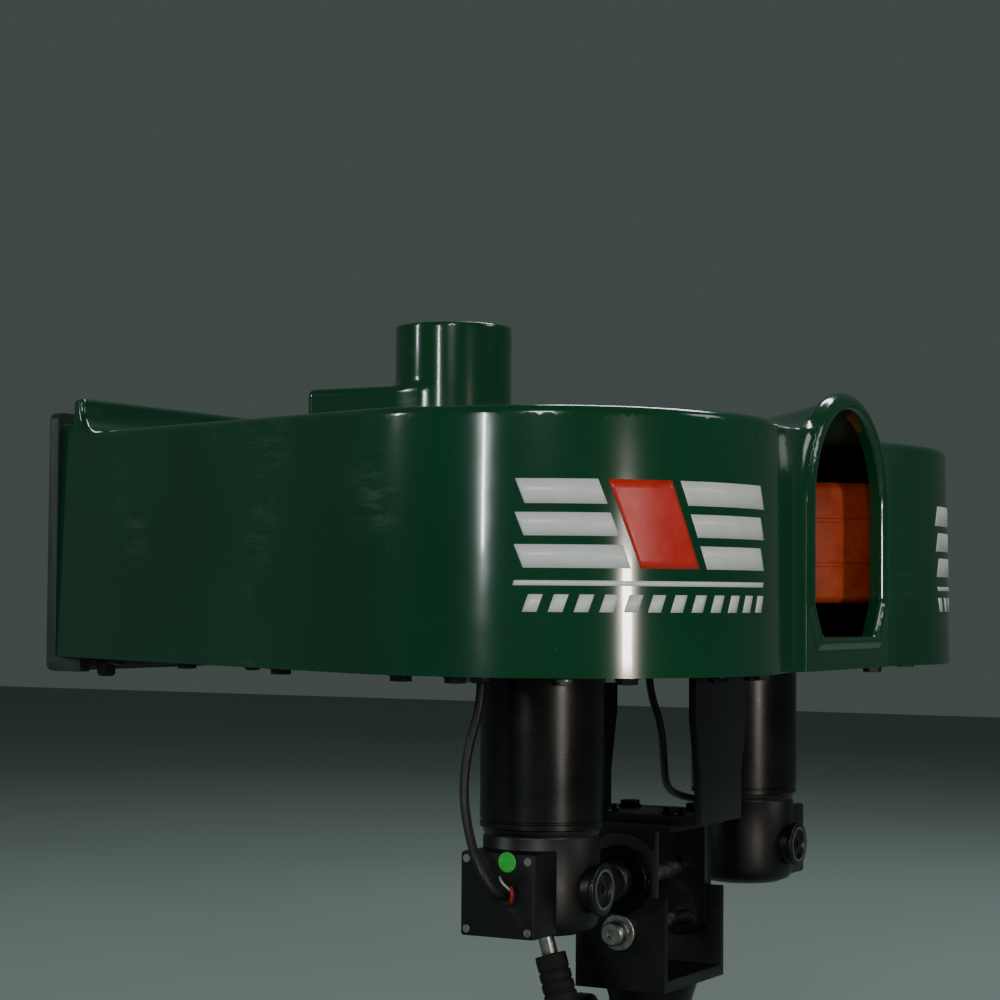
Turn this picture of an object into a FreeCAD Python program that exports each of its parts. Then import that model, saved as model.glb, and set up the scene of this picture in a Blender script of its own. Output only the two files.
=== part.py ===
import FreeCAD, Part
import Sketcher
import math
import os

# Two-wheel ball throwing machine: a moulded hood over two wheels, each on its own motor,
# carried by a saddle and a tilting, turning yoke on the socket of a tripod post.
# Millimetres. X is the machine's left, the ball leaves towards -Y, Z is up, and the origin is
# the mouth of the post socket. Heights called "drop" are measured down from the hood's lower edge.

sizes = {
    # hood
    "hoodBase": 382, "hoodHeight": 187, "hoodSlope": 0.02, "hoodWall": 3.5, "hoodDraft": 0.0192,
    "rearEnd": 520, "rearHalf": 126, "lobeForward": 7, "lobeShift": 3.5, "lobeGap": 4.5,
    "frontJoin": 118, "lipStart": 470, "lipFoot": 486, "lipBack": 500, "lipRise": 40, "shoulderRise": 19,
    # exit nozzle
    "exitFace": 175, "exitHalf": 73.2, "exitBottom": 25, "exitRise": 16, "exitCorner": 34, "rimWidth": 14,
    "throatDepth": 80, "throatFall": 24, "cowlStart": 20, "cowlFootHalf": 60,
    # feed tower and the chute inside
    "feedBack": 191.6, "feedRadius": 50.4, "feedWall": 4, "tubeRise": 101.7,
    "plinthBack": 310.8, "plinthRise": 48.4, "ballRadius": 36, "ballRoom": 6, "chuteWall": 3,
    "chuteKnee": 140, "chuteMouth": 88, "chuteRise": 14, "chuteFit": 0.3,
    # floor of the head
    "baseThick": 6, "baseFit": 0.3, "boltRadius": 4, "headRadius": 8, "headHigh": 5.5, "boltInset": 26,
    # wheels
    "wheelOffset": 192.5, "wheelRadius": 162, "tyreBottom": 52, "tyreWidth": 101, "tyreDepth": 34,
    "tyreChamfer": 5, "hubRim": 10, "hubWeb": 12, "bossRadius": 30, "bossBottom": 24, "shaftRadius": 9.5,
    "shaftTop": 128, "nutRadius": 15, "nutHigh": 14, "washerRadius": 22, "washerThick": 3,
    # motors
    "motorRadius": 46.6, "motorWall": 5, "flangeThick": 5, "flangeRadius": 60, "canBottom": 117,
    "bellRadius": 44, "bellBottom": 195, "armatureRadius": 36, "boxReach": 66, "boxHalf": 30,
    "boxTop": 131, "boxBottom": 192, "boxWall": 3, "lidThick": 2.5, "brushRadius": 19.5,
    "brushReach": 51, "brushDrop": 161, "grommetDrop": 161, "grommetShift": 8, "cableRadius": 3.5,
    # saddle bracket
    "saddleHalf": 63, "saddlePlate": 6.5, "saddleDrop": 119, "saddleTop": 51, "saddleFoot": 40,
    "saddleFlange": 24, "saddleBoltX": 22, "saddleBoltY": 30,
    # tilt head and yoke
    "pivotDrop": 170, "pivotRadius": 8, "tiltPlate": 7, "tiltHalf": 28, "tiltLength": 54, "tiltRoof": 8,
    "roofHalf": 42, "yokeHalf": 58, "yokePlate": 6, "yokeDeep": 39.5, "earHalf": 28, "earTop": 37,
    "yokeDrop": 258, "yokeFloor": 9, "sideFit": 0.3, "lockRadius": 6, "lockDown": 42.2, "boreFit": 0.05,
    "discRadius": 27.3, "discThick": 6, "knobRadius": 16, "knobLength": 14, "tiltRange": 18,
    # turning joint and post socket
    "neckRadius": 34, "neckBottom": 62, "socketTop": 60, "socketRadius": 39, "postRadius": 30.3,
    "socketDepth": 45, "spindleRadius": 18, "spindleTop": 112, "bushWall": 4, "washerFit": 0.3,
    # aiming handle
    "rodRadius": 6.5, "gripTop": 12.5, "gripEnd": 15.5, "gripLength": 105,
    # rear panel and its controls
    "panelThick": 10, "panelHalf": 131, "panelLow": 13, "panelRise": 29, "windowHalf": 85,
    "windowLow": 45, "windowTop": 155, "plateThick": 3, "plateMargin": 10, "dialSide": 48, "dialHigh": 112,
    "dialRadius": 19, "dialLength": 17, "dialShaft": 3, "switchHigh": 72, "railHigh": 10,
    "footRadius": 8, "footHigh": 17, "footBack": 478, "footSide": 112,
}

doc = FreeCAD.newDocument("BallMachine")
sheet = doc.addObject("Spreadsheet::Sheet", "Sizes")
for row, (name, number) in enumerate(sizes.items(), 1):
    sheet.set(f"A{row}", name)
    sheet.set(f"B{row}", str(number))
    sheet.setAlias(f"B{row}", name)
doc.recompute()


class Size(float):
    # a number that remembers the sheet cells it was worked out from
    def __new__(cls, number, text):
        size = float.__new__(cls, number)
        size.text = text
        return size

    def __add__(self, other):
        return join(self, "+", other, float(self) + float(other))

    def __radd__(self, other):
        return join(other, "+", self, float(other) + float(self))

    def __sub__(self, other):
        return join(self, "-", other, float(self) - float(other))

    def __rsub__(self, other):
        return join(other, "-", self, float(other) - float(self))

    def __mul__(self, other):
        return join(self, "*", other, float(self) * float(other))

    def __rmul__(self, other):
        return join(other, "*", self, float(other) * float(self))

    def __truediv__(self, other):
        return join(self, "/", other, float(self) / float(other))

    def __neg__(self):
        return join(-1, "*", self, -float(self))


def textOf(size):
    return size.text if isinstance(size, Size) else repr(float(size))


def join(first, sign, second, number):
    return Size(number, f"({textOf(first)} {sign} {textOf(second)})")


class Cells:
    def __getattr__(self, name):
        return Size(float(sheet.get(name)), f"Sizes.{name}")


s = Cells()
vector = FreeCAD.Vector
parts = []


def bind(thing, path, size):
    if isinstance(size, Size):
        thing.setExpression(path, size.text)


def setSize(thing, path, size):
    setattr(thing, path, float(size))
    bind(thing, path, size)


turns = {
    "z": FreeCAD.Rotation(),
    "-z": FreeCAD.Rotation(vector(1, 0, 0), 180),
    "x": FreeCAD.Rotation(vector(0, 1, 0), 90),
    "-x": FreeCAD.Rotation(vector(0, 1, 0), -90),
    "y": FreeCAD.Rotation(vector(1, 0, 0), -90),
    "-y": FreeCAD.Rotation(vector(1, 0, 0), 90),
}


def place(thing, at, axis="z"):
    thing.Placement = FreeCAD.Placement(vector(*[float(n) for n in at]), turns[axis])
    for letter, size in zip("xyz", at):
        bind(thing, f"Placement.Base.{letter}", size)
    return thing


def cylinder(radius, length, at, axis="z"):
    thing = doc.addObject("Part::Cylinder", "Round")
    setSize(thing, "Radius", radius)
    setSize(thing, "Height", length)
    return place(thing, at, axis)


def cone(radius, endRadius, length, at, axis="z"):
    thing = doc.addObject("Part::Cone", "Taper")
    setSize(thing, "Radius1", radius)
    setSize(thing, "Radius2", endRadius)
    setSize(thing, "Height", length)
    return place(thing, at, axis)


def box(low, high):
    thing = doc.addObject("Part::Box", "Block")
    for path, a, b in zip(("Length", "Width", "Height"), low, high):
        setSize(thing, path, b - a)
    return place(thing, low)


def hexagon(across, length, at, axis="z"):
    thing = doc.addObject("Part::Prism", "Hex")
    thing.Polygon = 6
    setSize(thing, "Circumradius", across)
    setSize(thing, "Height", length)
    return place(thing, at, axis)


def fuse(*things):
    thing = doc.addObject("Part::MultiFuse", "Joined")
    thing.Shapes = list(things)
    thing.Refine = True
    return thing


def cut(base, *tools):
    thing = doc.addObject("Part::Cut", "Cut")
    thing.Base = base
    thing.Tool = tools[0] if len(tools) == 1 else fuse(*tools)
    thing.Refine = True
    return thing


def common(first, second):
    thing = doc.addObject("Part::MultiCommon", "Shared")
    thing.Shapes = [first, second]
    return thing


def rounded(base, radius, chosen):
    doc.recompute()
    thing = doc.addObject("Part::Fillet", "Rounded")
    thing.Base = base
    edges = enumerate(base.Shape.Edges, 1)
    thing.Edges = [(number, float(radius), float(radius)) for number, edge in edges if chosen(edge)]
    return thing


def together(*things):
    thing = doc.addObject("Part::Compound", "Group")
    thing.Links = list(things)
    return thing


def built(shape):
    # a piece whose shape is worked out below from the sheet's values
    thing = doc.addObject("Part::Feature", "Built")
    thing.Shape = shape
    return thing


def part(label, thing):
    thing.Label = label
    parts.append(thing)
    return thing


def mirrored(label, thing):
    copy = doc.addObject("Part::Mirroring", "Mirror")
    copy.Source = thing
    copy.Normal = vector(1, 0, 0)
    copy.Base = vector(0, 0, 0)
    return part(label, copy)


def upright(edge):
    return edge.Length > 1 and abs(abs(edge.tangentAt(edge.FirstParameter).z) - 1) < 0.001


# ---- PartDesign bodies: a closed outline of named corners, turned about its axis or padded

def sketchOn(body, role, outline, circles=()):
    sketch = body.newObject("Sketcher::SketchObject", "Outline")
    sketch.AttachmentSupport = [(next(f for f in body.Origin.OriginFeatures if f.Role == role), "")]
    sketch.MapMode = "FlatFace"
    count = len(outline)
    corners = [vector(float(u), float(v), 0) for u, v in outline]
    for number, corner in enumerate(corners):
        sketch.addGeometry(Part.LineSegment(corner, corners[(number + 1) % count]), False)
    for number in range(count):
        sketch.addConstraint(Sketcher.Constraint("Coincident", number, 2, (number + 1) % count, 1))
    for number, corner in enumerate(outline):
        pin(sketch, number, 1, corner)
    for u, v, radius in circles:
        ring = sketch.addGeometry(Part.Circle(vector(float(u), float(v), 0), vector(0, 0, 1), float(radius)))
        pin(sketch, ring, 3, (u, v))
        index = sketch.addConstraint(Sketcher.Constraint("Radius", ring, float(radius)))
        bind(sketch, f"Constraints[{index}]", radius)
    return sketch


def pin(sketch, geometry, point, corner):
    for kind, axis, size in (("DistanceX", -2, corner[0]), ("DistanceY", -1, corner[1])):
        if isinstance(size, Size):
            index = sketch.addConstraint(Sketcher.Constraint(kind, -1, 1, geometry, point, float(size)))
            sketch.setExpression(f"Constraints[{index}]", size.text)
        elif size == 0:
            sketch.addConstraint(Sketcher.Constraint("PointOnObject", geometry, point, axis))
        else:
            sketch.addConstraint(Sketcher.Constraint(kind, -1, 1, geometry, point, float(size)))


def turned(label, outline, at, axis="z"):
    # outline: corners as (radius, height along the axis)
    body = doc.addObject("PartDesign::Body", "Turned")
    sketch = sketchOn(body, "XZ_Plane", outline)
    turning = body.newObject("PartDesign::Revolution", "Turning")
    turning.Profile = sketch
    turning.ReferenceAxis = (sketch, ["V_Axis"])
    turning.Angle = 360
    body.Tip = turning
    place(body, at, axis)
    return part(label, body)


def padded(label, role, outline, length, circles=()):
    # padded evenly to both sides of the sketch plane
    body = doc.addObject("PartDesign::Body", "Padded")
    sketch = sketchOn(body, role, outline, circles)
    pad = body.newObject("PartDesign::Pad", "Thickness")
    pad.Profile = sketch
    setSize(pad, "Length", length)
    pad.Midplane = True
    body.Tip = pad
    return part(label, body) if label else body


base = s.hoodBase
wheelX = -s.wheelOffset
lobeSide = s.wheelOffset + s.lobeShift
lobeRadius = s.wheelRadius + s.lobeGap + s.hoodWall
lipTop = s.hoodHeight + s.lipRise
lipBehind = s.hoodHeight + s.shoulderRise
exitTop = s.hoodHeight + s.exitRise
pivotZ = base - s.pivotDrop

# ---- post socket: the fixed foot of the machine

socketBody = cylinder(s.socketRadius, s.socketTop, (0, 0, 0))
postBore = cylinder(s.postRadius, s.socketDepth, (0, 0, 0))
spindleHole = cylinder(s.spindleRadius, s.socketTop, (0, 0, 0))
clampHoles = []
clampBolts = []
for side in ("x", "-x"):
    reach = s.socketRadius * (1 if side == "x" else -1)
    clampHoles.append(cylinder(s.boltRadius, s.socketRadius, (0, 0, s.socketDepth / 2), side))
    start = s.postRadius if side == "x" else -s.postRadius
    shank = cylinder(s.boltRadius, s.socketRadius - s.postRadius, (start, 0, s.socketDepth / 2), side)
    head = hexagon(s.headRadius, s.headHigh, (reach, 0, s.socketDepth / 2), side)
    clampBolts.append(fuse(shank, head))
part("post_socket", cut(socketBody, postBore, spindleHole, *clampHoles))
part("post_clamp_bolts", together(*clampBolts))
turned("pan_spindle", [
    (0, s.socketDepth), (s.spindleRadius, s.socketDepth), (s.spindleRadius, s.spindleTop - 2),
    (s.spindleRadius - 2, s.spindleTop), (0, s.spindleTop)], (0, 0, 0))
turned("thrust_washer", [
    (s.spindleRadius + s.washerFit, s.socketTop), (s.neckRadius, s.socketTop),
    (s.neckRadius, s.neckBottom - s.washerFit), (s.spindleRadius + s.washerFit, s.neckBottom - s.washerFit)],
    (0, 0, 0))

# ---- yoke: two ears, a floor and a neck that turns on the spindle

yokeZ = base - s.yokeDrop
bushRadius = s.spindleRadius + s.boreFit + s.bushWall
lockZ = pivotZ - s.lockDown
ears = []
for sign in (-1, 1):
    inner = (s.yokeHalf - s.yokePlate) * sign
    outer = s.yokeHalf * sign
    low, high = (outer, inner) if sign < 0 else (inner, outer)
    plate = box((low, -s.yokeDeep, yokeZ), (high, s.yokeDeep, pivotZ - 14))
    ear = box((low, -s.earHalf, yokeZ), (high, s.earHalf, pivotZ + s.earTop - 12))
    crown = common(
        cylinder(s.earTop, s.yokePlate, (low, 0, pivotZ), "x"),
        box((low, -s.earHalf, pivotZ), (high, s.earHalf, pivotZ + s.earTop)))
    ears.extend([plate, ear, crown])
floor = box((-s.yokeHalf, -s.yokeDeep, yokeZ), (s.yokeHalf, s.yokeDeep, yokeZ + s.yokeFloor))
floor = rounded(floor, 6, lambda edge: abs(edge.tangentAt(0).y) > 0.99 and edge.CenterOfMass.z < yokeZ + 1)
neckLength = yokeZ - s.neckBottom
neck = cylinder(s.neckRadius, neckLength + s.yokeFloor / 2, (0, 0, s.neckBottom))
skirt = cone(s.neckRadius, s.yokeDeep - 1, 14, (0, 0, yokeZ - 14))
yokeSolid = fuse(floor, neck, skirt, *ears)
pivotHole = cylinder(s.pivotRadius + s.boreFit, 2 * s.yokeHalf + 2, (-s.yokeHalf - 1, 0, pivotZ), "x")
lockHole = cylinder(s.lockRadius + s.boreFit, 2 * s.yokeHalf + 2, (-s.yokeHalf - 1, 0, lockZ), "x")
bushHole = cylinder(bushRadius, s.spindleTop - s.neckBottom + 1, (0, 0, s.neckBottom))
panLockHole = cylinder(s.boltRadius, s.neckRadius + 1, (0, 0, s.neckBottom + 26), "y")
part("yoke", cut(yokeSolid, pivotHole, lockHole, bushHole, panLockHole))
turned("pan_bush", [
    (s.spindleRadius + s.boreFit, s.neckBottom), (bushRadius, s.neckBottom),
    (bushRadius, s.spindleTop + 0.5), (s.spindleRadius + s.boreFit, s.spindleTop + 0.5)], (0, 0, 0))

# ---- turning lock: a screw through the neck with a round grip

panLockZ = s.neckBottom + 26
turned("pan_lock_knob", [
    (0, bushRadius + 0.3), (s.boltRadius - s.boreFit, bushRadius + 0.3),
    (s.boltRadius - s.boreFit, s.neckRadius + 12), (9, s.neckRadius + 12), (9, s.neckRadius + 18),
    (20, s.neckRadius + 21), (20, s.neckRadius + 34),
    (17, s.neckRadius + 38), (0, s.neckRadius + 38)], (0, 0, panLockZ), "y")

# ---- tilting joint: bolt, toothed disc and knob on the machine's right, lock bolt below

yokeOuter = s.yokeHalf
discFace = yokeOuter + s.discThick
turned("pivot_bolt", [
    (0, -yokeOuter - 10), (13, -yokeOuter - 10), (13, -yokeOuter), (s.pivotRadius, -yokeOuter),
    (s.pivotRadius, discFace + 4), (0, discFace + 4)], (0, 0, pivotZ), "-x")

teeth = 24
disc = cylinder(s.discRadius, s.discThick, (-yokeOuter, 0, pivotZ), "-x")
notches = []
for number in range(teeth):
    angle = math.radians(360 / teeth * number)
    notchY = s.discRadius * math.cos(angle)
    notchZ = pivotZ + s.discRadius * math.sin(angle)
    notches.append(cylinder(1.6, s.discThick, (-yokeOuter, notchY, notchZ), "-x"))
part("tilt_disc", cut(disc, cylinder(s.pivotRadius, s.discThick, (-yokeOuter, 0, pivotZ), "-x"), *notches))

knobFoot = discFace + s.sideFit
turned("tilt_knob", [
    (s.pivotRadius + s.boreFit, knobFoot), (s.knobRadius - 3, knobFoot), (s.knobRadius, knobFoot + 3),
    (s.knobRadius, knobFoot + s.knobLength - 2), (s.knobRadius - 2, knobFoot + s.knobLength),
    (0, knobFoot + s.knobLength), (0, discFace + 5), (s.pivotRadius + s.boreFit, discFace + 5)],
    (0, 0, pivotZ), "-x")
turned("lock_bolt", [
    (0, -yokeOuter - 8), (11, -yokeOuter - 8), (11, -yokeOuter), (s.lockRadius, -yokeOuter),
    (s.lockRadius, yokeOuter), (14.4, yokeOuter), (14.4, yokeOuter + 4), (10, yokeOuter + 5),
    (10, yokeOuter + 14), (8, yokeOuter + 16), (0, yokeOuter + 16)], (0, 0, lockZ), "-x")

# ---- tilt head: a roof with two cheeks that hang between the yoke's ears

roofTop = base - s.saddleDrop - s.saddlePlate
cheekOuter = s.yokeHalf - s.yokePlate - s.sideFit
cheekInner = cheekOuter - s.tiltPlate
cheeks = []
for sign in (-1, 1):
    low = -cheekOuter if sign < 0 else cheekInner
    high = -cheekInner if sign < 0 else cheekOuter
    tail = common(
        cylinder(s.tiltLength, s.tiltPlate, (low, 0, pivotZ), "x"),
        box((low, -s.tiltHalf, pivotZ - s.tiltLength), (high, s.tiltHalf, pivotZ)))
    cheeks.extend([tail, box((low, -s.tiltHalf, pivotZ), (high, s.tiltHalf, roofTop))])
roof = box((-cheekOuter, -s.roofHalf, roofTop - s.tiltRoof + 2), (cheekOuter, s.roofHalf, roofTop))
lockSpan = cylinder(s.lockRadius + 0.2, 2 * cheekOuter, (-cheekOuter, 0, lockZ), "x")
outerRing = cylinder(s.lockDown + s.lockRadius + 0.2, 2 * cheekOuter, (-cheekOuter, 0, pivotZ), "x")
innerRing = cylinder(s.lockDown - s.lockRadius - 0.2, 2 * cheekOuter, (-cheekOuter, 0, pivotZ), "x")
slotHalf = s.lockDown * math.sin(math.radians(s.tiltRange + 0.6))
slotBand = common(cut(outerRing, innerRing), box(
    (-cheekOuter, -slotHalf, lockZ - s.lockRadius - 1), (cheekOuter, slotHalf, lockZ + s.lockRadius + 4)))
slotEnds = []
for sign in (-1, 1):
    angle = math.radians(s.tiltRange + 0.6)
    slotEnds.append(cylinder(s.lockRadius + 0.2, 2 * cheekOuter, (
        -cheekOuter, sign * s.lockDown * math.sin(angle), pivotZ - s.lockDown * math.cos(angle)), "x"))
tiltBore = cylinder(s.pivotRadius + s.boreFit, 2 * cheekOuter, (-cheekOuter, 0, pivotZ), "x")
saddleHoles = []
for x in (-s.saddleBoltX, s.saddleBoltX):
    for y in (-s.saddleBoltY, s.saddleBoltY):
        saddleHoles.append(cylinder(s.boltRadius, 30, (x, y, roofTop - 15)))
part("tilt_head", cut(fuse(roof, *cheeks), tiltBore, slotBand, *slotEnds, *saddleHoles))

# ---- saddle bracket: a channel hung from the floor of the head

saddleLow = base - s.saddleDrop - s.saddlePlate
flangeEnd = s.saddleHalf + s.saddleFlange
legInner = s.saddleHalf - s.saddlePlate
channel = padded(None, "YZ_Plane", [
    (-flangeEnd, base), (-flangeEnd, base - s.saddlePlate), (-s.saddleHalf, base - s.saddlePlate),
    (-s.saddleHalf, saddleLow), (s.saddleHalf, saddleLow), (s.saddleHalf, base - s.saddlePlate),
    (flangeEnd, base - s.saddlePlate), (flangeEnd, base), (legInner, base),
    (legInner, saddleLow + s.saddlePlate), (-legInner, saddleLow + s.saddlePlate), (-legInner, base)],
    2 * s.saddleTop)
taper = padded(None, "XZ_Plane", [
    (-s.saddleTop, base), (-s.saddleTop, base - 40), (-s.saddleFoot, base - 90), (-s.saddleFoot, saddleLow),
    (s.saddleFoot, saddleLow), (s.saddleFoot, base - 90), (s.saddleTop, base - 40), (s.saddleTop, base)],
    2 * flangeEnd)
flangeBoltX = s.saddleTop - 15
flangeBoltY = s.saddleHalf + s.saddleFlange / 2
hangHoles = []
hangBolts = []
seatBolts = []
for x in (-flangeBoltX, flangeBoltX):
    for y in (-flangeBoltY, flangeBoltY):
        hangHoles.append(cylinder(s.boltRadius, 40, (x, y, base - 20)))
        shank = cylinder(s.boltRadius, s.saddlePlate + s.baseThick, (x, y, base - s.saddlePlate))
        head = hexagon(s.headRadius, s.headHigh, (x, y, base - s.saddlePlate - s.headHigh))
        hangBolts.append(fuse(shank, head))
for x in (-s.saddleBoltX, s.saddleBoltX):
    for y in (-s.saddleBoltY, s.saddleBoltY):
        shank = cylinder(s.boltRadius, s.saddlePlate + s.tiltRoof - 2, (x, y, roofTop - s.tiltRoof + 2))
        head = hexagon(s.headRadius, s.headHigh, (x, y, roofTop + s.saddlePlate))
        seatBolts.append(fuse(shank, head))
part("saddle_bracket", cut(common(channel, taper), *hangHoles, *saddleHoles))
part("saddle_bolts", together(*hangBolts, *seatBolts))

# ---- hood: plan outline with two round lobes, drawn in by the draft as it rises

def halfOutline(offset):
    # corners of the left half: rear corner, start of the lobe's arc, a point on it, and its end
    radius = lobeRadius + offset
    centre = vector(lobeSide, -s.lobeForward, 0)
    rear = vector(s.rearHalf + offset, s.rearEnd, 0)
    away = rear - centre
    swing = math.acos(radius / away.Length)
    start = math.atan2(away.y, away.x) - swing
    end = -math.acos((s.frontJoin - lobeSide) / radius)
    middle = (start + end) / 2
    onArc = [centre + vector(math.cos(angle), math.sin(angle), 0) * radius for angle in (start, middle, end)]
    return rear, onArc


def planWire(offset, height, rearExtra=0):
    rear, (start, middle, end) = halfOutline(offset)
    rear = vector(rear.x, rear.y + rearExtra, 0)

    def left(point):
        return vector(point.x, point.y, height)

    def right(point):
        return vector(-point.x, point.y, height)

    edges = [
        Part.LineSegment(right(rear), left(rear)),
        Part.LineSegment(left(rear), left(start)),
        Part.Arc(left(start), left(middle), left(end)),
        Part.LineSegment(left(end), right(end)),
        Part.Arc(right(end), right(middle), right(start)),
        Part.LineSegment(right(start), right(rear)),
    ]
    return Part.Wire([edge.toShape() for edge in edges])


def draftAt(height):
    return (s.hoodHeight - height) * s.hoodDraft


def prismX(corners, half):
    # a side-view outline of (y, z) corners, as wide as half to each side
    points = [vector(-half, y, base + z) for y, z in corners]
    return Part.Face(Part.makePolygon(points + points[:1])).extrude(vector(2 * half, 0, 0))


def roofAt(back):
    return s.hoodHeight + s.hoodSlope * (back + s.lobeForward)


def hoodEnvelope(inset):
    low = -1 if inset else 0
    high = lipTop + 1
    rearExtra = 1 if inset else 0
    body = Part.makeLoft([
        planWire(draftAt(low) - inset, base + low, rearExtra),
        planWire(draftAt(high) - inset, base + high, rearExtra)], True, True)
    front = -s.lobeForward - lobeRadius - 20
    roof = [(front, low), (front, s.hoodHeight - inset), (-s.lobeForward, s.hoodHeight - inset)]
    if inset:
        roof += [(s.rearEnd + 1, roofAt(s.rearEnd) - inset), (s.rearEnd + 1, low)]
    else:
        roof += [
            (s.lipStart, roofAt(s.lipStart)), (s.lipFoot - 4, roofAt(s.lipStart) + 7),
            (s.lipFoot, lipTop - 4), (s.lipFoot + 3, lipTop), (s.lipBack, lipTop), (s.lipBack + 4, lipBehind),
            (s.rearEnd, lipBehind), (s.rearEnd, 0)]
    return body.common(prismX(roof, 500))


def archWire(half, low, top, corner, forward):
    # nozzle section: round crown, straight sides, cut lower corners
    spring = top - half
    y = -forward

    def at(x, z):
        return vector(x, y, base + z)

    edges = [
        Part.LineSegment(at(-half + corner * 0.62, low), at(half - corner * 0.62, low)),
        Part.LineSegment(at(half - corner * 0.62, low), at(half, low + corner)),
        Part.LineSegment(at(half, low + corner), at(half, spring)),
        Part.Arc(at(half, spring), at(0, top), at(-half, spring)),
        Part.LineSegment(at(-half, spring), at(-half, low + corner)),
        Part.LineSegment(at(-half, low + corner), at(-half + corner * 0.62, low)),
    ]
    return Part.Wire([edge.toShape() for edge in edges])


rimOuter = s.exitHalf + s.rimWidth
nozzleWire = archWire(
    rimOuter, s.exitBottom - s.rimWidth, exitTop + s.rimWidth, s.exitCorner, s.exitFace)
nozzle = Part.Face(nozzleWire).extrude(vector(0, 60, 0))
throat = Part.makeLoft([
    archWire(s.exitHalf, s.exitBottom, exitTop, s.exitCorner - 4, s.exitFace + 1),
    archWire(
        s.exitHalf - 6, s.exitBottom, exitTop - s.throatFall, s.exitCorner - 4,
        s.exitFace + 1 - s.throatDepth)], True, True)


def cowl(inset):
    # the ridge behind the nozzle, lower and narrower as it runs back
    front = archWire(rimOuter - inset, s.exitBottom + 20, exitTop + s.rimWidth - inset, 20, s.exitFace - 12)
    back = archWire(
        s.cowlFootHalf - inset, s.exitBottom + 20, s.hoodHeight - 4 - inset, 20, s.cowlStart)
    return Part.makeLoft([front, back], True, True)


hoodOuter = hoodEnvelope(0).fuse([nozzle, cowl(0)]).removeSplitter()
hoodInner = hoodEnvelope(s.hoodWall).fuse([cowl(s.hoodWall), throat])
feedHole = Part.makeCylinder(
    s.ballRadius + s.ballRoom, 60, vector(0, s.feedBack, base + s.hoodHeight - 30))
hood = hoodOuter.cut([hoodInner, feedHole])
part("hood_shell", built(hood))

# ---- feed tower: a plinth and an upright tube, seated on the sloping roof

towerLow = base + s.hoodHeight - 10
tube = cylinder(s.feedRadius, s.tubeRise + 10, (0, s.feedBack, towerLow))
plinthTop = base + s.hoodHeight + s.plinthRise
plinth = box((-s.feedRadius, s.feedBack, towerLow), (s.feedRadius, s.plinthBack, plinthTop))
plinth = rounded(plinth, 12, lambda edge: upright(edge) and edge.CenterOfMass.y > s.plinthBack - 1)
plinthRoom = box(
    (-s.feedRadius + s.feedWall, s.feedBack + s.feedRadius, towerLow - 1),
    (s.feedRadius - s.feedWall, s.plinthBack - s.feedWall, plinthTop - s.feedWall))
feedBore = cylinder(s.feedRadius - s.feedWall, 300, (0, s.feedBack, towerLow - 50))
roofBlock = built(hoodEnvelope(0))
part("feed_tower", cut(fuse(tube, plinth), plinthRoom, feedBore, roofBlock))

# ---- ball chute: drops the ball and rolls it forward between the wheels

def roundPath(points, share=0.45):
    # straight runs joined by tangent arcs, and the arcs' radii
    edges = []
    radii = []
    here = points[0]
    for before, corner, after in zip(points, points[1:], points[2:]):
        back = (before - corner).normalize()
        ahead = (after - corner).normalize()
        half = (math.pi - back.getAngle(ahead)) / 2
        trim = share * min((corner - before).Length, (after - corner).Length)
        radius = trim / math.tan(half)
        start = corner + back * trim
        end = corner + ahead * trim
        inward = (back + ahead).normalize()
        middle = corner + inward * (radius / math.cos(half) - radius)
        edges.append(Part.LineSegment(here, start).toShape())
        edges.append(Part.Arc(start, middle, end).toShape())
        radii.append(radius)
        here = end
    edges.append(Part.LineSegment(here, points[-1]).toShape())
    return Part.Wire(edges), radii


def pipe(path, radius):
    start = path.Edges[0]
    ring = Part.Circle(start.valueAt(start.FirstParameter), start.tangentAt(start.FirstParameter), radius)
    return path.makePipeShell([Part.Wire([ring.toShape()])], True, True)


nipZ = s.tyreBottom + s.tyreWidth / 2
chuteInner = s.ballRadius + s.ballRoom
chuteOuter = chuteInner + s.chuteWall
chuteTop = roofAt(s.feedBack - chuteOuter) - s.hoodWall - s.chuteFit
chutePath, chuteRadii = roundPath([
    vector(0, s.feedBack, base + chuteTop),
    vector(0, s.feedBack, base + s.chuteKnee),
    vector(0, s.chuteMouth, base + nipZ + s.chuteRise)], 0.88)
chuteSolid = pipe(chutePath, chuteOuter)
chuteRoom = pipe(chutePath, chuteInner)
part("ball_chute", built(chuteSolid.cut(chuteRoom)))
bracketBack = s.feedBack - 30
bracketBlock = Part.makeBox(
    40, 26, nipZ, vector(-20, bracketBack - 26, base + s.baseThick))
part("chute_bracket", built(bracketBlock.cut(chuteSolid)))

# ---- base plate: closes the hood from below and carries the motors and the saddle

plateWire = planWire(draftAt(0) - s.hoodWall - s.baseFit - 0.2, base)
basePlate = Part.Face(plateWire).extrude(vector(0, 0, s.baseThick))
motorSeat = 24
openings = [
    Part.makeCylinder(motorSeat + s.boreFit, 40, vector(x, 0, base - 20)) for x in (wheelX, s.wheelOffset)]
rearCorner, (arcStart, arcMiddle, arcEnd) = halfOutline(0)
edgeSpots = [(arcEnd.x, arcEnd.y + 10)]
for angle in (-50, -1, 19):
    spot = vector(lobeSide, -s.lobeForward, 0) + vector(
        math.cos(math.radians(angle)), math.sin(math.radians(angle)), 0) * (lobeRadius - s.boltInset)
    edgeSpots.append((spot.x, spot.y))
for back in (190, 330, 450):
    share = (back - arcStart.y) / (rearCorner.y - arcStart.y)
    edgeSpots.append((arcStart.x + (rearCorner.x - arcStart.x) * share - s.boltInset, back))
edgeBolts = []
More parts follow.
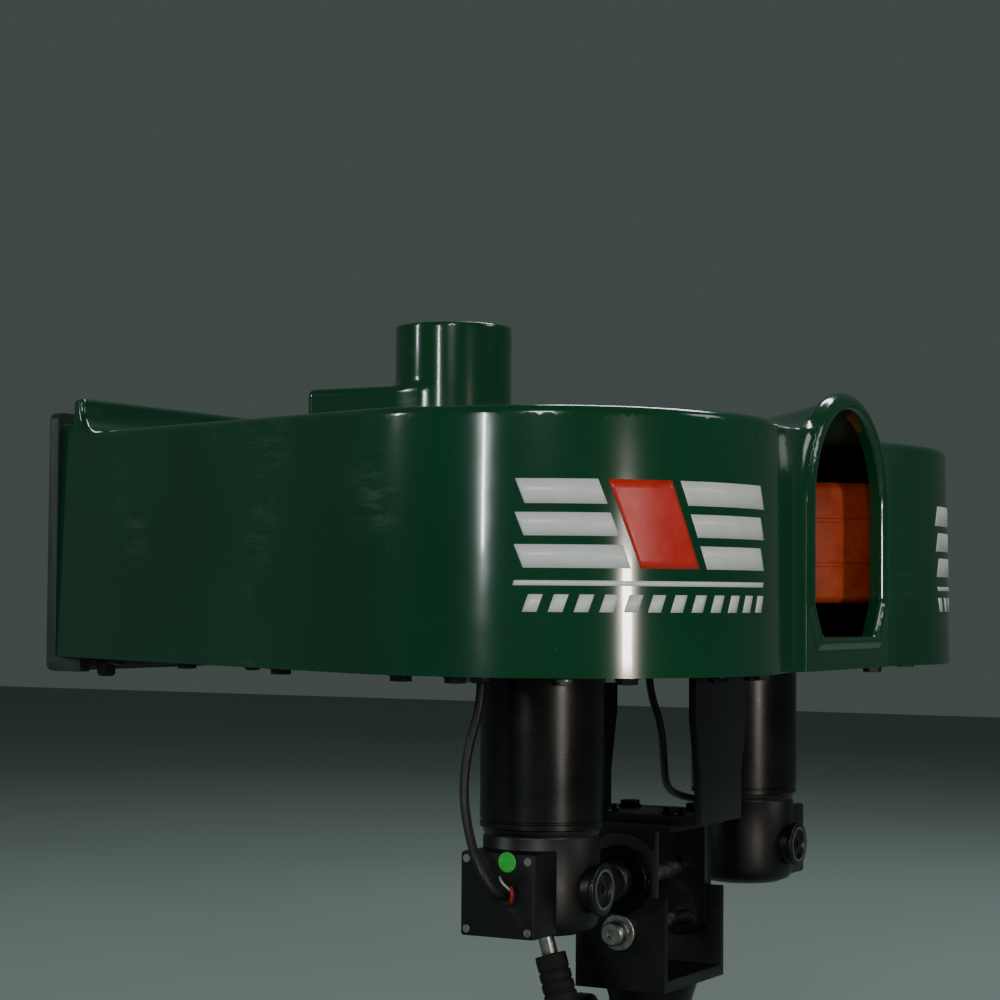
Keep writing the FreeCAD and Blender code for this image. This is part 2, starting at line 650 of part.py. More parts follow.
for side, back in edgeSpots:
    for sign in (-1, 1):
        openings.append(Part.makeCylinder(s.boltRadius, 40, vector(sign * side, back, base - 20)))
        shank = cylinder(s.boltRadius, s.baseThick, (sign * side, back, base))
        head = hexagon(s.headRadius, s.headHigh, (sign * side, back, base - s.headHigh))
        edgeBolts.append(fuse(shank, head))
for x in (-flangeBoltX, flangeBoltX):
    for y in (-flangeBoltY, flangeBoltY):
        openings.append(Part.makeCylinder(s.boltRadius, 40, vector(x, y, base - 20)))

cableStarts = {"right": (wheelX - 69.5, 14), "left": (s.wheelOffset - 92.5, 50)}
glandRadius = s.cableRadius + 5.5
for x, y in cableStarts.values():
    openings.append(Part.makeCylinder(glandRadius - 2, 40, vector(x, y, base - 20)))
part("base_plate", built(basePlate.cut(openings)))
part("base_bolts", together(*edgeBolts))
glands = []
for x, y in cableStarts.values():
    collar = cylinder(glandRadius, 8, (x, y, base - 8))
    stem = cylinder(glandRadius - 2, s.baseThick, (x, y, base))
    glands.append(cut(fuse(collar, stem), cylinder(s.cableRadius, 12, (x, y, base - 8))))
part("hood_glands", together(*glands))

# ---- rear panel, its plate and the controls

panelBack = s.rearEnd + s.panelThick
panelHigh = base + s.hoodHeight + s.panelRise
panel = box((-s.panelHalf, s.rearEnd, base - s.panelLow), (s.panelHalf, panelBack, panelHigh))
panel = rounded(panel, 8, lambda edge: abs(edge.tangentAt(0).y) > 0.99)
window = box(
    (-s.windowHalf, s.rearEnd - 1, base + s.windowLow), (s.windowHalf, panelBack + 1, base + s.windowTop))
panelFeet = []
for sign in (-1, 1):
    low = -s.panelHalf if sign < 0 else s.panelHalf - 13
    high = -s.panelHalf + 13 if sign < 0 else s.panelHalf
    panelFeet.append(box((low, s.rearEnd - 28, base - s.panelLow), (high, s.rearEnd, base)))
part("rear_panel", cut(fuse(panel, *panelFeet), window))
plateLow = (-s.windowHalf - s.plateMargin, panelBack, base + s.windowLow - s.plateMargin)
plateHigh = (s.windowHalf + s.plateMargin, panelBack + s.plateThick, base + s.windowTop + s.plateMargin)
plateFace = panelBack + s.plateThick
dialHoles = []
for x in (-s.dialSide, s.dialSide):
    dialHoles.append(cylinder(s.dialShaft + 2, 20, (x, panelBack - 5, base + s.dialHigh), "y"))
switchZ = base + s.switchHigh
inletX = -s.windowHalf + 24
switchHole = box((-11, panelBack - 5, switchZ - 15), (11, plateFace + 1, switchZ + 15))
inletHole = box((inletX - 14, panelBack - 5, base + 50), (inletX + 14, plateFace + 1, base + 70))
part("control_plate", cut(box(plateLow, plateHigh), *dialHoles, switchHole, inletHole))
inletShell = box((inletX - 14, panelBack - 22, base + 50), (inletX + 14, plateFace, base + 70))
inletLip = box((inletX - 19, plateFace, base + 46), (inletX + 19, plateFace + 3, base + 74))
inletRoom = box((inletX - 11, panelBack - 16, base + 53), (inletX + 11, plateFace + 4, base + 67))
inletPins = [
    box((inletX + x, panelBack - 17, base + z), (inletX + x + 4, panelBack - 2, base + z + 2))
    for x, z in ((-8, 57), (-2, 61), (4, 57))]
part("power_inlet", fuse(cut(fuse(inletShell, inletLip), inletRoom), *inletPins))
for label, x in (("right_speed_knob", -s.dialSide), ("left_speed_knob", s.dialSide)):
    turned(label, [
        (0, -14), (s.dialShaft, -14), (s.dialShaft, s.plateThick + 0.3), (s.dialRadius, s.plateThick + 0.3),
        (s.dialRadius, s.plateThick + 4), (s.dialRadius - 3, s.plateThick + 6),
        (s.dialRadius - 4, s.plateThick + s.dialLength - 2), (s.dialRadius - 6, s.plateThick + s.dialLength),
        (0, s.plateThick + s.dialLength)], (x, panelBack, base + s.dialHigh), "y")
rocker = padded(None, "YZ_Plane", [
    (plateFace - 7, base + s.switchHigh - 10), (plateFace - 7, base + s.switchHigh + 10),
    (plateFace + 1.5, base + s.switchHigh + 10.5), (plateFace + 2.5, base + s.switchHigh),
    (plateFace + 5.5, base + s.switchHigh - 10.5)], 17.4)
part("power_rocker", rocker)
switchBezel = box((-13, plateFace, base + s.switchHigh - 17), (13, plateFace + 2, base + s.switchHigh + 17))
switchTub = box((-11, panelBack - 16, base + s.switchHigh - 15), (11, plateFace, base + s.switchHigh + 15))
switchRoom = box((-9, panelBack - 9, base + s.switchHigh - 13), (9, plateFace + 3, base + s.switchHigh + 13))
part("switch_housing", cut(fuse(switchBezel, switchTub), switchRoom))
pots = []
for x in (-s.dialSide, s.dialSide):
    can = cylinder(12, 20, (x, panelBack - 20, base + s.dialHigh), "y")
    bore = cylinder(s.dialShaft + s.boreFit, 16, (x, panelBack - 15, base + s.dialHigh), "y")
    pots.append(cut(can, bore))
part("speed_pots", together(*pots))

rail = box((-s.footSide - 6, s.rearEnd - 26, base - s.railHigh), (s.footSide + 6, s.rearEnd - 4, base))
railRoom = box(
    (-s.footSide - 7, s.rearEnd - 30, base - s.railHigh - 1), (s.footSide + 7, s.rearEnd - 8, base - 4))
part("rear_rail", cut(rail, railRoom))
feet = []
footLow = base - s.footHigh
for x in (-s.footSide, s.footSide):
    foot = cylinder(s.footRadius, s.footHigh, (x, s.footBack, footLow))
    feet.append(rounded(foot, 3, lambda edge: edge.CenterOfMass.z < footLow + 1 and edge.Length > 40))
part("rubber_feet", together(*feet))
boxLow = (-80, s.rearEnd - 130, base + s.baseThick)
controller = box(boxLow, (80, s.rearEnd - 50, base + 96))
fins = [
    box((-76 + 12 * number, s.rearEnd - 126, base + 96), (-73 + 12 * number, s.rearEnd - 54, base + 116))
    for number in range(13)]
part("speed_controller", fuse(controller, *fins))

# ---- motors and wheels, built on the machine's right and mirrored to its left

canTop = base - s.flangeThick
canLow = base - s.canBottom
bellLow = base - s.bellBottom
canInner = s.motorRadius - s.motorWall
turned("right_motor_flange", [
    (s.shaftRadius + 1, canTop - 8), (canInner, canTop - 8), (canInner, canTop),
    (s.flangeRadius, canTop), (s.flangeRadius, base), (motorSeat, base), (motorSeat, base + s.baseThick),
    (s.shaftRadius + 1, base + s.baseThick)], (wheelX, 0, 0))
turned("right_motor_can", [
    (canInner, canLow), (s.motorRadius, canLow), (s.motorRadius, canTop), (canInner, canTop)], (wheelX, 0, 0))

boxFace = s.wheelOffset + s.boxReach
boxBottomZ = base - s.boxBottom
boxTopZ = base - s.boxTop
brushZ = base - s.brushDrop
bellTurned = turned("bell_blank", [
    (s.shaftRadius + 4, bellLow), (s.bellRadius - 12, bellLow), (s.bellRadius - 3, bellLow + 4),
    (s.bellRadius, bellLow + 12), (s.bellRadius, canLow), (s.bellRadius - 6, canLow),
    (s.bellRadius - 6, bellLow + 10), (s.shaftRadius + 4, bellLow + 10)], (wheelX, 0, 0))
parts.remove(bellTurned)
brushBosses = [
    cylinder(s.brushRadius - 3, s.brushReach - 3, (wheelX, 0, brushZ), axis) for axis in ("y", "-y")]
brushTubes = [cut(boss, cylinder(s.bellRadius - 6, 80, (wheelX, 0, bellLow + 5))) for boss in brushBosses]
part("right_end_bell", fuse(bellTurned, *brushTubes))
caps = []
for axis in ("y", "-y"):
    sign = 1 if axis == "y" else -1
    at = (wheelX, sign * (s.brushReach - 3), brushZ)
    caps.append(cylinder(s.brushRadius, 5, at, axis))
part("right_brush_caps", together(*caps))

boxBlock = box((-boxFace, -s.boxHalf, boxBottomZ), (wheelX, s.boxHalf, boxTopZ))
bellSpace = cylinder(s.bellRadius + s.boreFit, 120, (wheelX, 0, bellLow - 10))
boxRoom = box(
    (-boxFace - 1, -s.boxHalf + s.boxWall, boxBottomZ + s.boxWall),
    (wheelX - s.bellRadius - 4, s.boxHalf - s.boxWall, boxTopZ - s.boxWall))
keepOuter = box((wheelX - 20, -60, bellLow - 20), (wheelX + 60, 60, canLow + 20))
part("right_terminal_box", cut(boxBlock, bellSpace, boxRoom, keepOuter))
lidOuter = -boxFace - s.lidThick
grommetY = -s.grommetShift
grommetZ = base - s.grommetDrop
lid = box((lidOuter, -s.boxHalf, boxBottomZ), (-boxFace, s.boxHalf, boxTopZ))
lidHole = cylinder(s.cableRadius + 2, s.lidThick, (lidOuter, grommetY, grommetZ), "x")
part("right_terminal_lid", cut(rounded(lid, 2, lambda edge: abs(edge.tangentAt(0).x) > 0.99), lidHole))
grommet = fuse(
    cylinder(s.cableRadius + 4.5, 2.5, (lidOuter - 2.5, grommetY, grommetZ), "x"),
    cylinder(s.cableRadius + 2, s.lidThick + 3, (lidOuter, grommetY, grommetZ), "x"))
part("right_grommet", cut(grommet, cylinder(s.cableRadius, 20, (lidOuter - 5, grommetY, grommetZ), "x")))

turned("right_motor_shaft", [
    (0, bellLow + 10.3), (8, bellLow + 10.3), (8, bellLow + 24), (22, bellLow + 24), (22, canLow - 4),
    (10, canLow - 4), (10, canLow + 6), (s.armatureRadius, canLow + 6), (s.armatureRadius, canTop - 24),
    (10, canTop - 24), (10, canTop - 9), (s.shaftRadius, canTop - 9), (s.shaftRadius, base + s.shaftTop),
    (0, base + s.shaftTop)], (wheelX, 0, 0))

tyreTop = s.tyreBottom + s.tyreWidth
rimOut = s.wheelRadius - s.tyreDepth
rimIn = rimOut - s.hubRim
webLow = base + s.tyreBottom + s.tyreWidth / 2 - s.hubWeb / 2
webHigh = webLow + s.hubWeb
nutSeat = base + s.shaftTop - s.nutHigh - s.washerThick - 4
turned("right_wheel_hub", [
    (s.shaftRadius, base + s.bossBottom), (s.bossRadius, base + s.bossBottom), (s.bossRadius, webLow),
    (rimIn, webLow), (rimIn, base + s.tyreBottom + 4), (rimOut, base + s.tyreBottom + 4),
    (rimOut, base + tyreTop - 4), (rimIn, base + tyreTop - 4), (rimIn, webHigh),
    (s.bossRadius - 6, webHigh), (s.bossRadius - 8, nutSeat), (s.shaftRadius, nutSeat)], (wheelX, 0, 0))
turned("right_tyre", [
    (rimOut, base + s.tyreBottom), (s.wheelRadius - s.tyreChamfer, base + s.tyreBottom),
    (s.wheelRadius, base + s.tyreBottom + s.tyreChamfer), (s.wheelRadius, base + tyreTop - s.tyreChamfer),
    (s.wheelRadius - s.tyreChamfer, base + tyreTop), (rimOut, base + tyreTop)], (wheelX, 0, 0))
washer = cylinder(s.washerRadius, s.washerThick, (wheelX, 0, nutSeat))
nut = hexagon(s.nutRadius, s.nutHigh, (wheelX, 0, nutSeat + s.washerThick))
part("right_wheel_nut", cut(fuse(washer, nut), cylinder(s.shaftRadius, 60, (wheelX, 0, nutSeat - 10))))

for piece in ("motor_flange", "motor_can", "end_bell", "brush_caps", "terminal_box", "terminal_lid",
              "grommet", "motor_shaft", "wheel_hub", "tyre", "wheel_nut"):
    mirrored(f"left_{piece}", next(thing for thing in parts if thing.Label == f"right_{piece}"))

# ---- motor cables: out of a gland in the floor, round the motor and into the terminal box

cableEnd = boxFace + s.lidThick - 1
# each spot: how far out from the motor's axis, its y, and its drop below the hood
cableRoutes = {
    "right": [
        (69.5, 14, 7), (69.5, 14, 24), (76.5, 21, 56), (79.5, 23, 88), (85.5, 14, 118), (91.5, 2, 140),
        (88.5, -5, 154), (79.5, -s.grommetShift, s.grommetDrop),
        (cableEnd - s.wheelOffset, -s.grommetShift, s.grommetDrop)],
    "left": [
        (-92.5, 50, 7), (-92.5, 50, 24), (-74.5, 46, 58), (-52.5, 54, 92), (-26.5, 64, 114), (7.5, 68, 124),
        (43.5, 60, 131), (71.5, 40, 137), (89.5, 16, 144), (88.5, -3, 155),
        (79.5, -s.grommetShift, s.grommetDrop),
        (cableEnd - s.wheelOffset, -s.grommetShift, s.grommetDrop)],
}
for side, spots in cableRoutes.items():
    sign = -1 if side == "right" else 1
    path, radii = roundPath([
        vector(sign * (s.wheelOffset + out), back, base - drop) for out, back, drop in spots])
    cable = pipe(path, s.cableRadius)
    section = math.pi * s.cableRadius ** 2
    print(side, "cable", round(path.Length), "mm, radii", [round(radius) for radius in radii],
          "volume share", round(cable.Volume / (section * path.Length), 4))
    part(f"{side}_motor_cable", built(cable))

# ---- aiming handle: a bent rod clamped under the saddle, with a tapered grip

gripStart = vector(-85, 48.6, base - 230)
gripAim = vector(0, -0.291, -0.957).normalize()
rodPath, rodRadii = roundPath([
    vector(-18, 55, roofTop - 8.5), vector(-52, 57, roofTop - 8.5), gripStart - gripAim * 76,
    gripStart + gripAim * 40])
rod = pipe(rodPath, s.rodRadius)
grip = Part.makeCone(s.gripTop, s.gripEnd, s.gripLength, gripStart, gripAim)
socket = Part.makeCylinder(s.rodRadius, 40, gripStart, gripAim)
part("handle_rod", built(rod))
part("handle_grip", built(grip.cut(socket)))
clampBlock = Part.makeBox(28, 18, 17, vector(-40, s.saddleHalf - 18, roofTop - 17))
part("handle_clamp", built(clampBlock.cut(rod)))

# ---- checks and files

doc.recompute()
for thing in doc.Objects:
    if "Invalid" in thing.State or "Error" in thing.State:
        raise RuntimeError(f"{thing.Name} {thing.Label} did not build: {thing.State}")
for thing in parts:
    if thing.Shape.isNull() or not thing.Shape.isValid() or not thing.Shape.Solids:
        raise RuntimeError(f"{thing.Label} has no sound shape")

os.makedirs("parts", exist_ok=True)
for thing in parts:
    thing.Shape.exportStep(f"parts/{thing.Label}.step")
    print(thing.Label, len(thing.Shape.Solids), round(thing.Shape.Volume / 1000, 2))
print(len(parts), "parts")
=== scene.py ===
import bpy
import bmesh
import math
import numpy as np
from mathutils import Matrix, Vector


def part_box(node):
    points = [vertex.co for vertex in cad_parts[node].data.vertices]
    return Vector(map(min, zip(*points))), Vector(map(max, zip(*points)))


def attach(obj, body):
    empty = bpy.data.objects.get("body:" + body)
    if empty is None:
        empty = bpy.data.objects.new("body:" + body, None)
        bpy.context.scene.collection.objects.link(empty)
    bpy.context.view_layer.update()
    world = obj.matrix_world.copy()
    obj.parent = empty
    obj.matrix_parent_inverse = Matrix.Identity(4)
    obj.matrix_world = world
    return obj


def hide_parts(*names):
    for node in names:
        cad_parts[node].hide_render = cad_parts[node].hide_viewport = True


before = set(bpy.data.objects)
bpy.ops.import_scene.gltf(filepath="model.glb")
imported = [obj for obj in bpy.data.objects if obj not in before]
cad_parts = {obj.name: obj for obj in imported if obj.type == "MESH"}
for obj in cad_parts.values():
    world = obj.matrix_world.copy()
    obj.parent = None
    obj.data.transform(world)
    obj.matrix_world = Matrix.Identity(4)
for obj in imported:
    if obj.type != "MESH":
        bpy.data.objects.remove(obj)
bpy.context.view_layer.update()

mm = 0.001
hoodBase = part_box("base_plate")[0].z          # lower edge of the hood, metres
wheelSide = 0.1925                            # wheel and motor axes, each side of the middle


# small tools

def linear(hexText):
    # sRGB hex to the linear colour that the shader wants
    def one(pair):
        part = int(pair, 16) / 255
        return part / 12.92 if part <= 0.04045 else ((part + 0.055) / 1.055) ** 2.4
    text = hexText.lstrip("#")
    return tuple(one(text[i:i + 2]) for i in (0, 2, 4)) + (1.0,)


def addNode(tree, kind, links=None, **settings):
    # one node with its settings; links gives each input a value or another node's output
    node = tree.nodes.new(kind)
    for key, value in settings.items():
        setattr(node, key, value)
    for key, value in (links or {}).items():
        socket = node.inputs[key]
        if isinstance(value, bpy.types.NodeSocket):
            tree.links.new(value, socket)
        else:
            socket.default_value = value
    return node


def newMaterial(name, **shader):
    material = bpy.data.materials.new(name)
    material.use_nodes = True
    tree = material.node_tree
    tree.nodes.clear()
    bsdf = addNode(tree, "ShaderNodeBsdfPrincipled", shader)
    addNode(tree, "ShaderNodeOutputMaterial", {"Surface": bsdf.outputs["BSDF"]})
    coords = addNode(tree, "ShaderNodeTexCoord").outputs["Object"]
    return material, tree, bsdf, coords


def ramp(tree, factor, stops):
    node = addNode(tree, "ShaderNodeValToRGB", {"Fac": factor})
    while len(node.color_ramp.elements) < len(stops):
        node.color_ramp.elements.new(0.5)
    for element, (place, value) in zip(node.color_ramp.elements, stops):
        element.position = place
        element.color = linear(value) if isinstance(value, str) else (value, value, value, 1)
    return node.outputs["Color"]


def meshPiece(name, points, faces, material, smooth=40):
    mesh = bpy.data.meshes.new(name)
    mesh.from_pydata([tuple(p) for p in points], [], [tuple(f) for f in faces])
    mesh.validate()
    return ownPiece(name, mesh, material, smooth)


def ownPiece(name, mesh, material, smooth=40):
    piece = bpy.data.objects.new(name, mesh)
    bpy.context.collection.objects.link(piece)
    mesh.materials.clear()
    mesh.materials.append(material)
    mesh.shade_smooth()
    mesh.set_sharp_from_angle(angle=math.radians(smooth))
    return piece


def baked(piece):
    # modifiers turned into plain mesh
    graph = bpy.context.evaluated_depsgraph_get()
    mesh = bpy.data.meshes.new_from_object(piece.evaluated_get(graph), depsgraph=graph)
    piece.modifiers.clear()
    old = piece.data
    piece.data = mesh
    if old.users == 0:
        bpy.data.meshes.remove(old)
    return piece


def bevelled(piece, width, segments=3, angle=30):
    modifier = piece.modifiers.new("edge", "BEVEL")
    modifier.width = width
    modifier.segments = segments
    modifier.limit_method = "ANGLE"
    modifier.angle_limit = math.radians(angle)
    baked(piece)
    piece.data.shade_smooth()
    piece.data.set_sharp_from_angle(angle=math.radians(40))
    return piece


def joined(name, pieces, smooth=40):
    # several meshes in one piece, materials kept
    work = bmesh.new()
    materials = []
    for piece in pieces:
        start = len(work.faces)
        work.from_mesh(piece.data)
        work.faces.ensure_lookup_table()
        for face in work.faces[start:]:
            slotMaterial = piece.data.materials[face.material_index]
            if slotMaterial not in materials:
                materials.append(slotMaterial)
            face.material_index = materials.index(slotMaterial)
    mesh = bpy.data.meshes.new(name)
    work.to_mesh(mesh)
    work.free()
    for material in materials:
        mesh.materials.append(material)
    for piece in pieces:
        bpy.data.objects.remove(piece)
    out = bpy.data.objects.new(name, mesh)
    bpy.context.collection.objects.link(out)
    mesh.shade_smooth()
    mesh.set_sharp_from_angle(angle=math.radians(smooth))
    return out


turnTo = {
    "z": Matrix.Identity(3),
    "-z": Matrix.Rotation(math.pi, 3, "X"),
    "x": Matrix.Rotation(math.pi / 2, 3, "Y"),
    "-x": Matrix.Rotation(-math.pi / 2, 3, "Y"),
    "y": Matrix.Rotation(-math.pi / 2, 3, "X"),
    "-y": Matrix.Rotation(math.pi / 2, 3, "X"),
}


def aimed(direction):
    return Vector(direction).to_track_quat("Z", "Y").to_matrix()


def lathe(name, profile, at, material, axis="z", steps=96, smooth=32):
    # profile in mm as (radius, height); a radius of 0 closes on the axis, otherwise the profile is a ring
    turn = turnTo[axis] if isinstance(axis, str) else axis
    closed = profile[0][0] > 0
    points, rings = [], []
    for radius, height in profile:
        if radius == 0:
            rings.append([len(points)] * steps)
            points.append(Vector((0, 0, height)))
        else:
            rings.append(list(range(len(points), len(points) + steps)))
            for k in range(steps):
                a = 2 * math.pi * k / steps
                points.append(Vector((radius * math.cos(a), radius * math.sin(a), height)))
    faces = []
    pairs = list(zip(rings, rings[1:])) + ([(rings[-1], rings[0])] if closed else [])
    for low, high in pairs:
        for k in range(steps):
            j = (k + 1) % steps
            corner = []
            for index in (low[k], low[j], high[j], high[k]):
                if index not in corner:
                    corner.append(index)
            if len(corner) > 2:
                faces.append(corner)
    placed = [Vector(at) + turn @ (p * mm) for p in points]
    piece = meshPiece(name, placed, faces, material, smooth)
    return outward(piece)


def outward(piece):
    work = bmesh.new()
    work.from_mesh(piece.data)
    bmesh.ops.recalc_face_normals(work, faces=work.faces)
    work.to_mesh(piece.data)
    work.free()
    return piece


def block(name, low, high, material, edge=0.8, segments=3):
    # a box between two corners, in metres, its edges rounded by edge mm
    work = bmesh.new()
    bmesh.ops.create_cube(work, size=1)
    for vert in work.verts:
        vert.co = Vector(low[i] if vert.co[i] < 0 else high[i] for i in range(3))
    mesh = bpy.data.meshes.new(name)
    work.to_mesh(mesh)
    work.free()
    piece = ownPiece(name, mesh, material)
    return bevelled(outward(piece), edge * mm, segments) if edge else outward(piece)


def slab(name, outline, plane, start, end, material, edge=0.8):
    # an outline of (u, v) in metres on "yz", "xz" or "xy", pushed from start to end along the third axis
    def place(u, v, w):
        return {"yz": (w, u, v), "xz": (u, w, v), "xy": (u, v, w)}[plane]
    count = len(outline)
    points = [place(u, v, start) for u, v in outline] + [place(u, v, end) for u, v in outline]
    faces = [list(range(count))[::-1], list(range(count, 2 * count))]
    faces += [(k, (k + 1) % count, (k + 1) % count + count, k + count) for k in range(count)]
    piece = outward(meshPiece(name, points, faces, material))
    return bevelled(piece, edge * mm) if edge else piece


def give(piece, body, slotName, *nodes):
    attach(piece, body)
    if nodes:
        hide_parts(*nodes)
    return piece


# surfaces given by a distance field, for moulded and cast shapes

def roundBoth(a, b, radius):
    # the inside of both, with its outer corner rounded
    return np.minimum(np.maximum(a, b), -radius) + np.hypot(
        np.maximum(a + radius, 0), np.maximum(b + radius, 0))


def blendEither(a, b, radius):
    # either of the two, with a fillet where they meet
    share = np.clip(0.5 + 0.5 * (b - a) / radius, 0, 1)
    return b + (a - b) * share - radius * share * (1 - share)


def netOf(field, low, high, step):
    # quads on the field's zero level: one point per crossed cell, drawn onto the surface afterwards
    axes = [np.arange(low[i], high[i] + step, step) for i in range(3)]
    x, y, z = np.meshgrid(*axes, indexing="ij", sparse=True)
    value = np.broadcast_to(field(x, y, z), [len(a) for a in axes]).astype(np.float32)
    inside = value < 0
    shape = [n - 1 for n in value.shape]
    total = np.zeros(shape + [3], np.float32)
    hits = np.zeros(shape, np.int16)
    offsets = [(i, j, k) for i in (0, 1) for j in (0, 1) for k in (0, 1)]

    def cornerOf(grid, o):
        return grid[o[0]:o[0] + shape[0], o[1]:o[1] + shape[1], o[2]:o[2] + shape[2]]

    for a in offsets:
        for axis in range(3):
            if a[axis]:
                continue
            b = tuple(1 if i == axis else a[i] for i in range(3))
            va, vb = cornerOf(value, a), cornerOf(value, b)
            crossed = (va < 0) != (vb < 0)
            share = np.where(crossed, va / np.where(crossed, va - vb, 1), 0)
            for i in range(3):
                part = a[i] + (share if i == axis else 0)
                total[..., i] += np.where(crossed, part, 0)
            hits += crossed
    cells = np.argwhere(hits > 0)
    number = np.full(shape, -1, np.int64)
    number[tuple(cells.T)] = np.arange(len(cells))
    local = total[tuple(cells.T)] / hits[tuple(cells.T)][:, None]
    points = np.array(low) + (cells + local) * step
    faces = []
    for axis in range(3):
        u, v = (axis + 1) % 3, (axis + 2) % 3
        front = [slice(1, -1)] * 3
        front[axis] = slice(0, -1)
        back = list(front)
        back[axis] = slice(1, None)
        a, b = inside[tuple(front)], inside[tuple(back)]
        for flip, mask in ((False, a & ~b), (True, ~a & b)):
            at = np.argwhere(mask)
            at = at + np.array([0 if i == axis else 1 for i in range(3)])
            ring = []
            for du, dv in ((-1, -1), (0, -1), (0, 0), (-1, 0)):
                cell = at.copy()
                cell[:, u] += du
                cell[:, v] += dv
                ring.append(number[tuple(cell.T)])
            quad = np.stack(ring, 1)
            faces.append(quad[:, ::-1] if flip else quad)
    faces = np.concatenate(faces)
    faces = faces[(faces >= 0).all(1)]
    return drawnOnto(field, points, step * 0.5), faces


def drawnOnto(field, points, reach):
    # points moved along the slope until they lie on the surface
    for _ in range(4):
        x, y, z = points.T
        d = field(x, y, z)
        e = 0.05
        slope = np.stack([
            field(x + e, y, z) - field(x - e, y, z),
            field(x, y + e, z) - field(x, y - e, z),
            field(x, y, z + e) - field(x, y, z - e)], 1) / (2 * e)
        size = np.maximum((slope ** 2).sum(1), 0.2)
        points = points - slope * np.clip(d / size, -reach, reach)[:, None]
    return points


def slopeOf(field, points):
    x, y, z = points.T
    e = 0.1
    slope = np.stack([
        field(x + e, y, z) - field(x - e, y, z),
        field(x, y + e, z) - field(x, y - e, z),
        field(x, y, z + e) - field(x, y, z - e)], 1)
    return slope / np.maximum(np.linalg.norm(slope, axis=1), 1e-9)[:, None]


def fieldPiece(name, field, low, high, step, material, base=(0, 0, 0), finer=0):
    # the field is in mm about base, which is in metres; tight curves are split finer times
    points, faces = netOf(field, low, high, step)
    mesh = bpy.data.meshes.new(name)
    mesh.from_pydata(points.tolist(), [], faces.tolist())
    mesh.validate()
    work = bmesh.new()
    work.from_mesh(mesh)
    for _ in range(finer):
        slope = slopeOf(field, np.array([vert.co for vert in work.verts]))
        work.verts.index_update()
        tight = [edge for edge in work.edges if edge.calc_length() > 1.2 and np.dot(
            slope[edge.verts[0].index], slope[edge.verts[1].index]) < math.cos(math.radians(9))]
        bmesh.ops.subdivide_edges(work, edges=tight, cuts=1, use_grid_fill=True)
        spots = drawnOnto(field, np.array([vert.co for vert in work.verts]), step * 0.4)
        for vert, spot in zip(work.verts, spots):
            vert.co = spot
    for vert in work.verts:
        vert.co = vert.co * mm + Vector(base)
    work.to_mesh(mesh)
    work.free()
    return ownPiece(name, mesh, material, 60)


# camera, floor and lights

viewTurn = math.radians(29.0)
viewTilt = math.radians(2.38)
viewRoll = math.radians(0.41)
viewFar, viewAside, viewUp = 1.953, -0.1264, 0.0541
ahead = Vector((math.cos(viewTurn), math.sin(viewTurn), 0))
aside = Vector((math.sin(viewTurn), -math.cos(viewTurn), 0))
lift = Vector((0, 0, 1))
look = ahead * math.cos(viewTilt) + lift * math.sin(viewTilt)
tipped = lift * math.cos(viewTilt) - ahead * math.sin(viewTilt)
rightward = aside * math.cos(viewRoll) + tipped * math.sin(viewRoll)
upward = tipped * math.cos(viewRoll) - aside * math.sin(viewRoll)
cameraData = bpy.data.cameras.new("camera")
cameraData.sensor_width = 36
cameraData.lens = 85.03
camera = bpy.data.objects.new("camera", cameraData)
bpy.context.collection.objects.link(camera)
seat = -ahead * viewFar + aside * viewAside + lift * (hoodBase + viewUp)
camera.matrix_world = Matrix((
    (rightward.x, upward.x, -look.x, seat.x),
    (rightward.y, upward.y, -look.y, seat.y),
    (rightward.z, upward.z, -look.z, seat.z),
    (0, 0, 0, 1)))
bpy.context.scene.camera = camera

studio = {"floorDrop": 0.002, "floorSize": 14.0, "worldColour": "#a7bab3", "world": 0.15}
floorMaterial, tree, bsdf, coords = newMaterial("paper_sweep", Roughness=0.85)
shade = addNode(tree, "ShaderNodeTexNoise", {"Vector": coords, "Scale": 0.8, "Detail": 2.0}).outputs["Fac"]
tree.links.new(ramp(tree, shade, [(0.3, "#88958f"), (0.7, "#8f9c97")]), bsdf.inputs["Base Color"])
half = studio["floorSize"] / 2
floor = meshPiece("floor", [
    (-half, -half, -studio["floorDrop"]), (half, -half, -studio["floorDrop"]),
    (half, half, -studio["floorDrop"]), (-half, half, -studio["floorDrop"])], [(0, 1, 2, 3)], floorMaterial)

world = bpy.data.worlds.new("studio")
bpy.context.scene.world = world
world.use_nodes = True
world.node_tree.nodes["Background"].inputs["Color"].default_value = linear(studio["worldColour"])
world.node_tree.nodes["Background"].inputs["Strength"].default_value = studio["world"]


def softbox(name, turnDegrees, distance, height, size, power, colour="#ffffff"):
    # an area light, placed by its angle to the right of the camera's side, aimed at the hood
    data = bpy.data.lights.new(name, "AREA")
    data.shape = "RECTANGLE"
    data.size, data.size_y = size
    data.energy = power
    data.color = linear(colour)[:3]
    lamp = bpy.data.objects.new(name, data)
    bpy.context.collection.objects.link(lamp)
    away = Matrix.Rotation(math.radians(turnDegrees), 3, "Z") @ -ahead
    target = Vector((0, 0.05, hoodBase + 0.08))
    lamp.location = target + away * distance + lift * height
    lamp.rotation_euler = (lamp.location - target).to_track_quat("Z", "Y").to_euler()
    return lamp


softbox("left_strip", -77, 2.6, 0.72, (0.1, 0.55), 7, "#f4fbff")
softbox("thin_strip", -31, 2.6, 0.34, (0.05, 0.4), 6, "#f4fbff")
softbox("front_strip", -6, 2.7, 0.92, (0.5, 0.5), 14, "#fbfdff")
softbox("top_panel", 150, 1.5, 2.2, (1.8, 0.4), 34, "#f4fbff")
softbox("mouth_fill", 31, 2.2, 0.02, (0.16, 0.16), 9, "#fff1e6")
softbox("far_fill", 80, 3.0, 1.4, (1.0, 1.0), 10)
print("camera, floor and lights made")


# finishes

